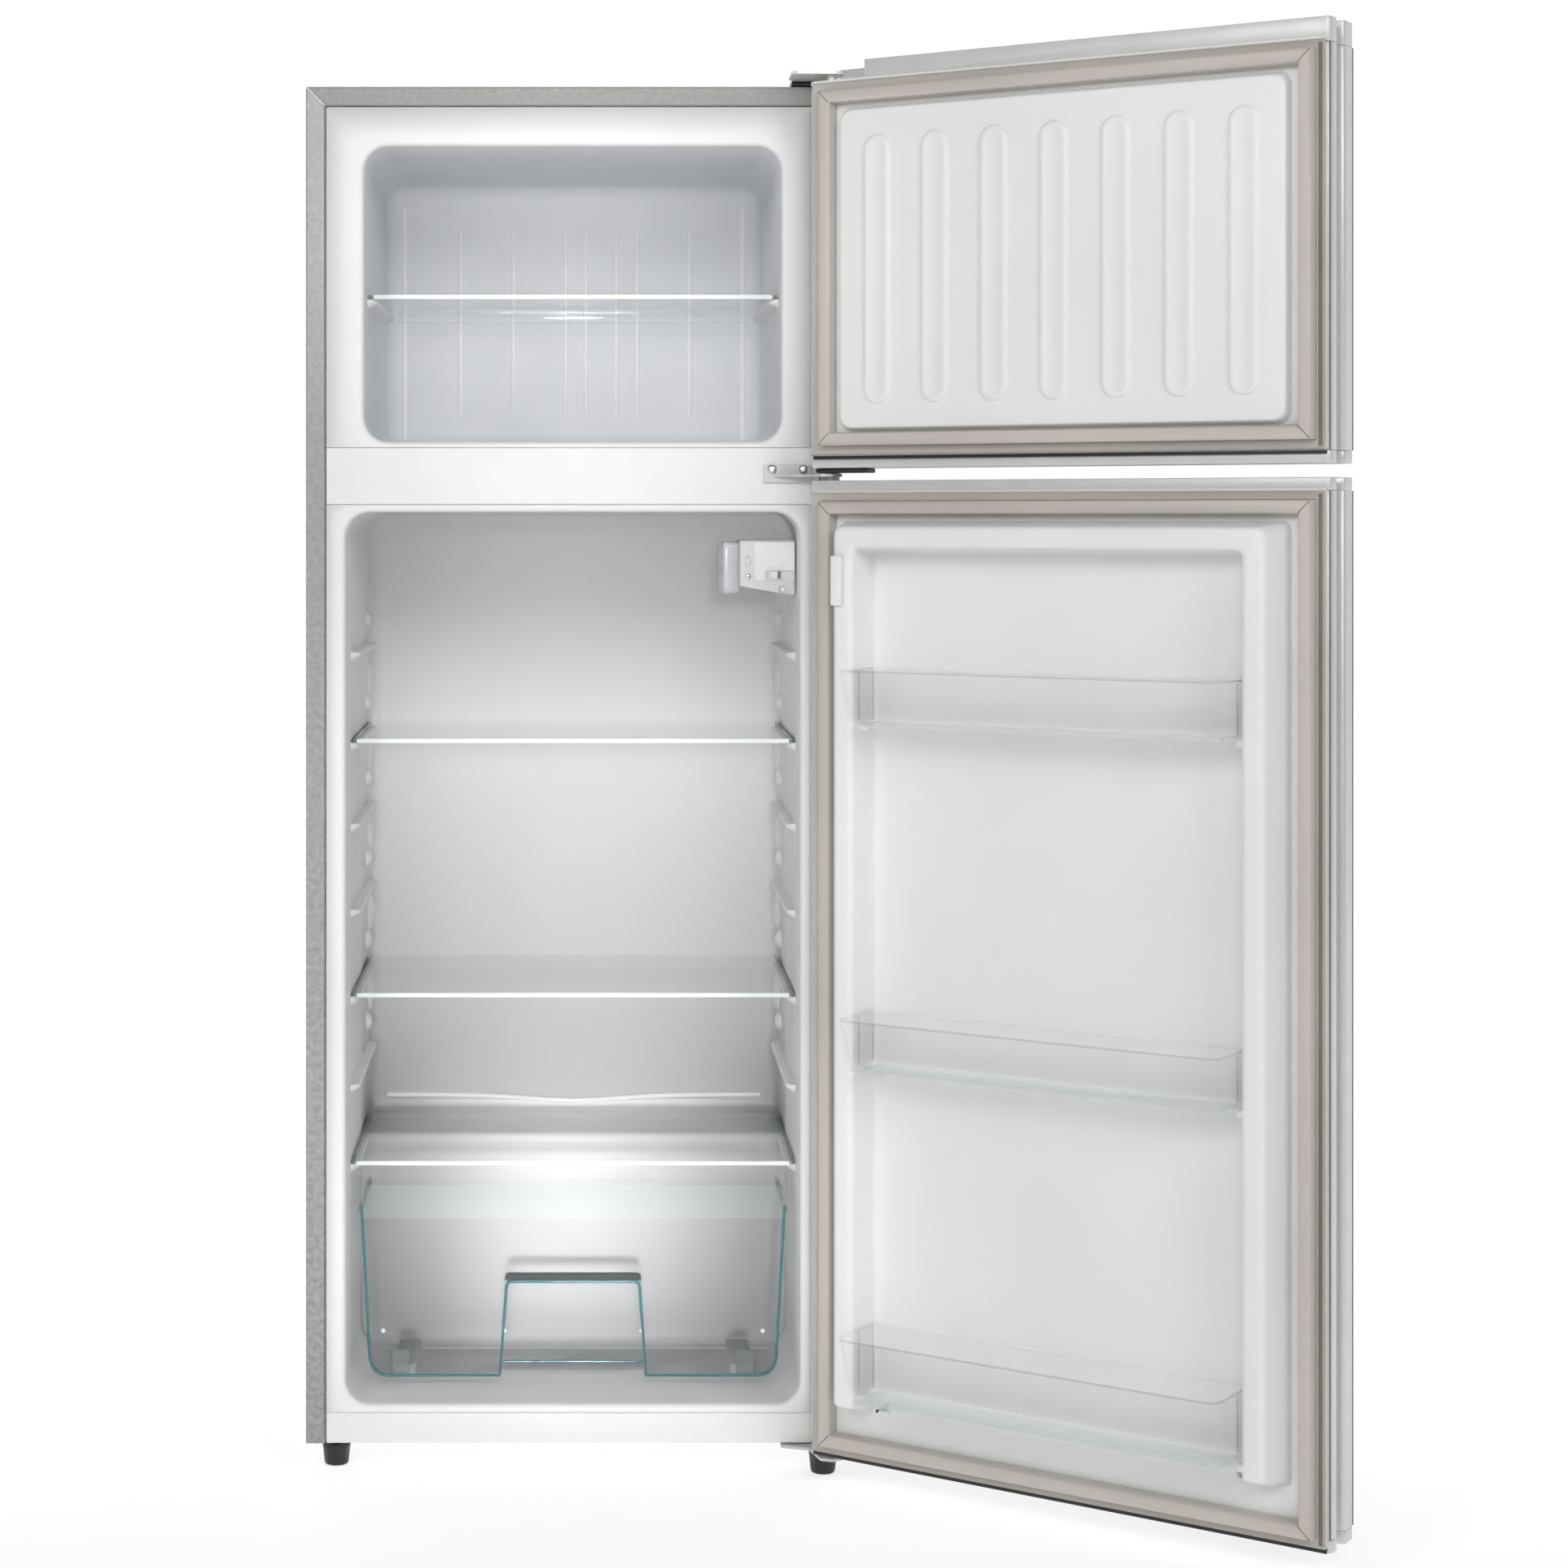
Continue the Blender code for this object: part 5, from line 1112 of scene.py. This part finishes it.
def build_feet():
    """Black screw feet with a ribbed skirt."""
    for side in ("left", "right"):
        node = f"front_foot_{side}"
        low, high = local_box(node)
        shares = ((0.0, high.z), (0.26, high.z), (0.27, 0.0225), (0.94, 0.0225), (1.0, 0.0215), (1.0, 0.018))
        shares += ((0.97, 0.017, 0.0004), (0.87, 0.003, 0.0004), (0.82, 0.0008), (0.74, 0.0), (0.0, 0.0))
        profile = [((high.x - low.x) / 2 * share, *rest) for share, *rest in shares]
        foot = (add_lathe, profile, ((low.x + high.x) / 2, (low.y + high.y) / 2, 0.0), 72, "Z", 6)
        assemble(f"{side}_foot", node, "black_plastic", [foot], node, 30.0)


# ---------------------------------------------------------------- the back
def serpentine(left, right, y, low, high, runs, bend=14):
    """A route that runs from side to side and down, with a half turn at the end of each run."""
    radius = (high - low) / (runs - 1) / 2
    route = []
    for run in range(runs):
        z = high - run * 2 * radius
        side = 1 if run % 2 == 0 else -1
        start, stop = (left + radius, right - radius)[::side]
        route += [(start * (1 - t) + stop * t, y, z) for t in (0.0, 0.25, 0.5, 0.75, 1.0)]
        if run < runs - 1:
            for a, b in arc((0, z - radius), radius, 90, -90, bend)[1:-1]:
                route.append((stop + side * a, y, b))
    return route


def build_condenser():
    """The serpentine tube with upright wires welded on both sides, held off the back panel by four clips."""
    low, high = local_box("condenser_coil")
    radius, y, wire, wires = (high.y - low.y) / 2, (low.y + high.y) / 2, 0.0008, 44
    route = serpentine(low.x + radius, high.x - radius, y, low.z + radius, high.z - radius, 11)
    assemble("condenser_tube", "cabinet", "black_enamel", [(add_tube, route, radius, 14)], "condenser_coil")
    parts = []
    for k in range(wires):
        x = low.x + 0.04 + (high.x - low.x - 0.08) * k / (wires - 1)
        for side in (-1, 1):
            line = [(x, y + side * (radius + wire * 0.6), z) for z in (low.z - 0.006, high.z + 0.006)]
            parts.append((add_tube, line, wire, 6))
    assemble("condenser_wires", "cabinet", "black_enamel", parts)
    parts = []
    for x in (low.x + 0.025, high.x - 0.025):
        for z in (low.z + 0.1, high.z - 0.1):
            base = (x - 0.006, DEPTH - 0.0004, z - 0.01), (x + 0.006, DEPTH + 0.0022, z + 0.01)
            arm = (x - 0.004, DEPTH + 0.001, z - 0.0035), (x + 0.004, low.y + 0.0012, z + 0.0035)
            parts += [(add_block, *ends, 0.0008) for ends in (base, arm)]
    assemble("condenser_clips", "cabinet", "black_plastic", parts)
    head = [(0.0, -0.0004), (0.004, -0.0004), (0.004, -0.001), (0.0028, -0.0022), (0.0, -0.0026)]
    assemble("back_screws", "cabinet", "screw_steel", [
        (add_lathe, head, (x, DEPTH - 0.0002, 0.275 + 0.2715 * k), 20, "Y")
        for x in (-HALF + 0.012, HALF - 0.012) for k in range(5)
    ])


def build_compressor():
    """The compressor on its rubber feet, with its relay cover, pipes, drier and drip tray."""
    low, high = local_box("compressor")
    foot = Vector(((low.x + high.x) / 2, (low.y + high.y) / 2, low.z))
    profile = filleted([(0.0, 0.004), (0.05, 0.004), (0.069, 0.024), (0.0698, 0.083)], 0.02, 6)
    profile += filleted([(0.0698, 0.083), (0.0722, 0.0845), (0.0722, 0.0935), (0.0698, 0.095)], 0.001, 2)
    profile += filleted([(0.0698, 0.095), (0.067, 0.122), (0.05, 0.144), (0.0, 0.15)], 0.024, 8)[1:]
    spread = (0.078, 0.056)
    bolt = [(0.0, 0.004), (0.011, 0.004), (0.0105, 0.0062), (0.006, 0.0068), (0.0058, 0.012), (0.0, 0.0125)]
    plate = Vector((spread[0] + 0.014, spread[1] + 0.012, 0))
    stub = [foot + Vector(p) for p in ((-0.03, -0.045, 0.11), (-0.04, -0.06, 0.122), (-0.046, -0.068, 0.14))]
    parts = [(add_lathe, profile, foot, 64)]
    parts.append((add_block, foot - plate, foot + plate + Vector((0, 0, 0.0045)), 0.0016, 3))
    for sx in (-1, 1):
        parts += [(add_lathe, bolt, foot + Vector((sx * spread[0], sy * spread[1], 0)), 28) for sy in (-1, 1)]
    parts.append((add_tube, stub, 0.0032, 12))
    assemble("compressor_shell", "cabinet", "black_enamel", parts, "compressor", 30.0)
    for number in range(1, 5):
        dress(f"compressor_grommet_{number}", "rubber")
    low, high = local_box("starter_relay_cover")
    parts = [(add_block, low, high, 0.005, 5)]
    for k in range(4):
        z = low.z + 0.012 + 0.01 * k
        fin = (high.x - 0.001, low.y + 0.008, z), (high.x + 0.0008, high.y - 0.008, z + 0.003)
        parts.append((add_block, *fin, 0.0006, 2))
    assemble("relay_cover", "cabinet", "black_plastic", parts, "starter_relay_cover")
    dress("cord_gland", "rubber")
    low, high = local_box("filter_drier")
    tall = high.z - low.z
    profile = [(0.0, tall), (0.003, tall), (0.003, tall - 0.012), (0.009, tall - 0.026)]
    profile = filleted(profile + [(0.009, 0.03), (0.003, 0.014), (0.003, 0.0), (0.0, 0.0)], 0.004, 4)
    drier = lathe("drier", profile, ((low.x + high.x) / 2, (low.y + high.y) / 2, low.z), 36)
    settle(drier, "cabinet", "copper", "filter_drier")
    dress("discharge_pipe", "copper")
    dress("drip_tray", "black_plastic", 0.0004)


# ---------------------------------------------------------------- studio
SKY = {"From Min": -0.35, "From Max": 0.75, "To Min": 0.14, "To Max": 1.0}
IMAGE_WIDTH, FOCUS_PIXELS, SENSOR = 1931.0, 3876.6, 36.0
MIDDLE = (0.1, 0.1, 0.75)
SOFTBOXES = {
    "key": ((-0.1, -4.4, 2.9), (2.2, 1.4), 45.0),
    "left": ((-2.3, -3.6, 2.5), (1.5, 1.3), 42.0),
    "right": ((2.3, -3.6, 2.5), (1.5, 1.3), 42.0),
}
SPOTS = {"freezer": ((0.0, -3.3, 1.05), (0.0, 0.4, 1.25), 10.5, 172.0)}
for x in (-0.1, 0.1):
    side = -1 if x < 0 else 1
    SPOTS[f"upper_{side}"] = ((x, -3.3, 1.05), (x, 0.4, 0.71), 6.6, 190.0)
    SPOTS[f"middle_{side}"] = ((x, -3.3, 0.85), (x, 0.4, 0.47), 6.6, 165.0)
    SPOTS[f"lower_{side}"] = ((x, -3.3, 0.6), (x, 0.3, 0.21), 6.6, 330.0)


def link_object(name, data, place=(0.0, 0.0, 0.0)):
    thing = bpy.data.objects.new(name, data)
    bpy.context.scene.collection.objects.link(thing)
    thing.location = place
    return thing


def add_lamp(name, kind, place, aim, power):
    light = bpy.data.lights.new(name, kind)
    light.energy = power
    lamp = link_object(name, light, CABINET @ Vector(place))
    lamp.rotation_euler = (CABINET @ Vector(aim) - lamp.location).to_track_quat("-Z", "Y").to_euler()
    return light


def build_studio():
    """A plain pale floor, soft light from all round and a camera square to the cabinet."""
    mesh = bpy.data.meshes.new("studio_floor")
    bm = bmesh.new()
    bmesh.ops.create_grid(bm, x_segments=1, y_segments=1, size=14.0)
    bm.to_mesh(mesh)
    bm.free()
    mesh.materials.append(ground("studio_floor"))
    link_object("studio_floor", mesh, (0.0, 0.0, -0.0002))

    world = bpy.data.worlds.new("studio")
    bpy.context.scene.world = world
    world.use_nodes = True
    tree = world.node_tree
    sky = tree.nodes["Background"]
    split = tree.nodes.new("ShaderNodeSeparateXYZ")
    tree.links.new(tree.nodes.new("ShaderNodeTexCoord").outputs["Generated"], split.inputs[0])
    level = tree.nodes.new("ShaderNodeMapRange")
    level.interpolation_type = "SMOOTHSTEP"
    tree.links.new(split.outputs["Y"], level.inputs["Value"])
    for key, value in SKY.items():
        level.inputs[key].default_value = value
    tree.links.new(level.outputs["Result"], sky.inputs["Strength"])
    sky.inputs["Color"].default_value = (1.0, 1.0, 1.0, 1.0)

    for name, (place, size, power) in SOFTBOXES.items():
        light = add_lamp(name, "AREA", place, MIDDLE, power)
        light.shape = "RECTANGLE"
        light.size, light.size_y = size
    for name, (place, aim, angle, power) in SPOTS.items():
        light = add_lamp(name, "SPOT", place, aim, power)
        light.spot_size = math.radians(angle)
        light.spot_blend = 1.0
        light.shadow_soft_size = 0.18

    lens = bpy.data.cameras.new("camera")
    lens.sensor_width = SENSOR
    lens.lens = FOCUS_PIXELS / IMAGE_WIDTH * SENSOR
    lens.shift_x = 0.1292
    lens.shift_y = -0.1709
    camera = link_object("camera", lens, CABINET @ Vector((0.0083, -3.211, 0.976)))
    camera.rotation_euler = (math.pi / 2, 0.0, 0.0)
    bpy.context.scene.camera = camera
    bpy.context.scene.view_settings.view_transform = "Standard"


build_wrap()
build_freezer_liner()
build_fridge_liner()
build_front_and_base()
build_shelves()
build_crisper()
build_control_box()
build_control_fittings()
for door in ("freezer_door", "fridge_door"):
    for build in (build_skin, build_grip, build_caps, build_gasket):
        build(door)
build_freezer_door_liner()
build_fridge_door_liner()
for shelf in ("upper", "middle", "lower"):
    build_bin(shelf)
build_hinges()
build_feet()
build_condenser()
build_compressor()
build_studio()
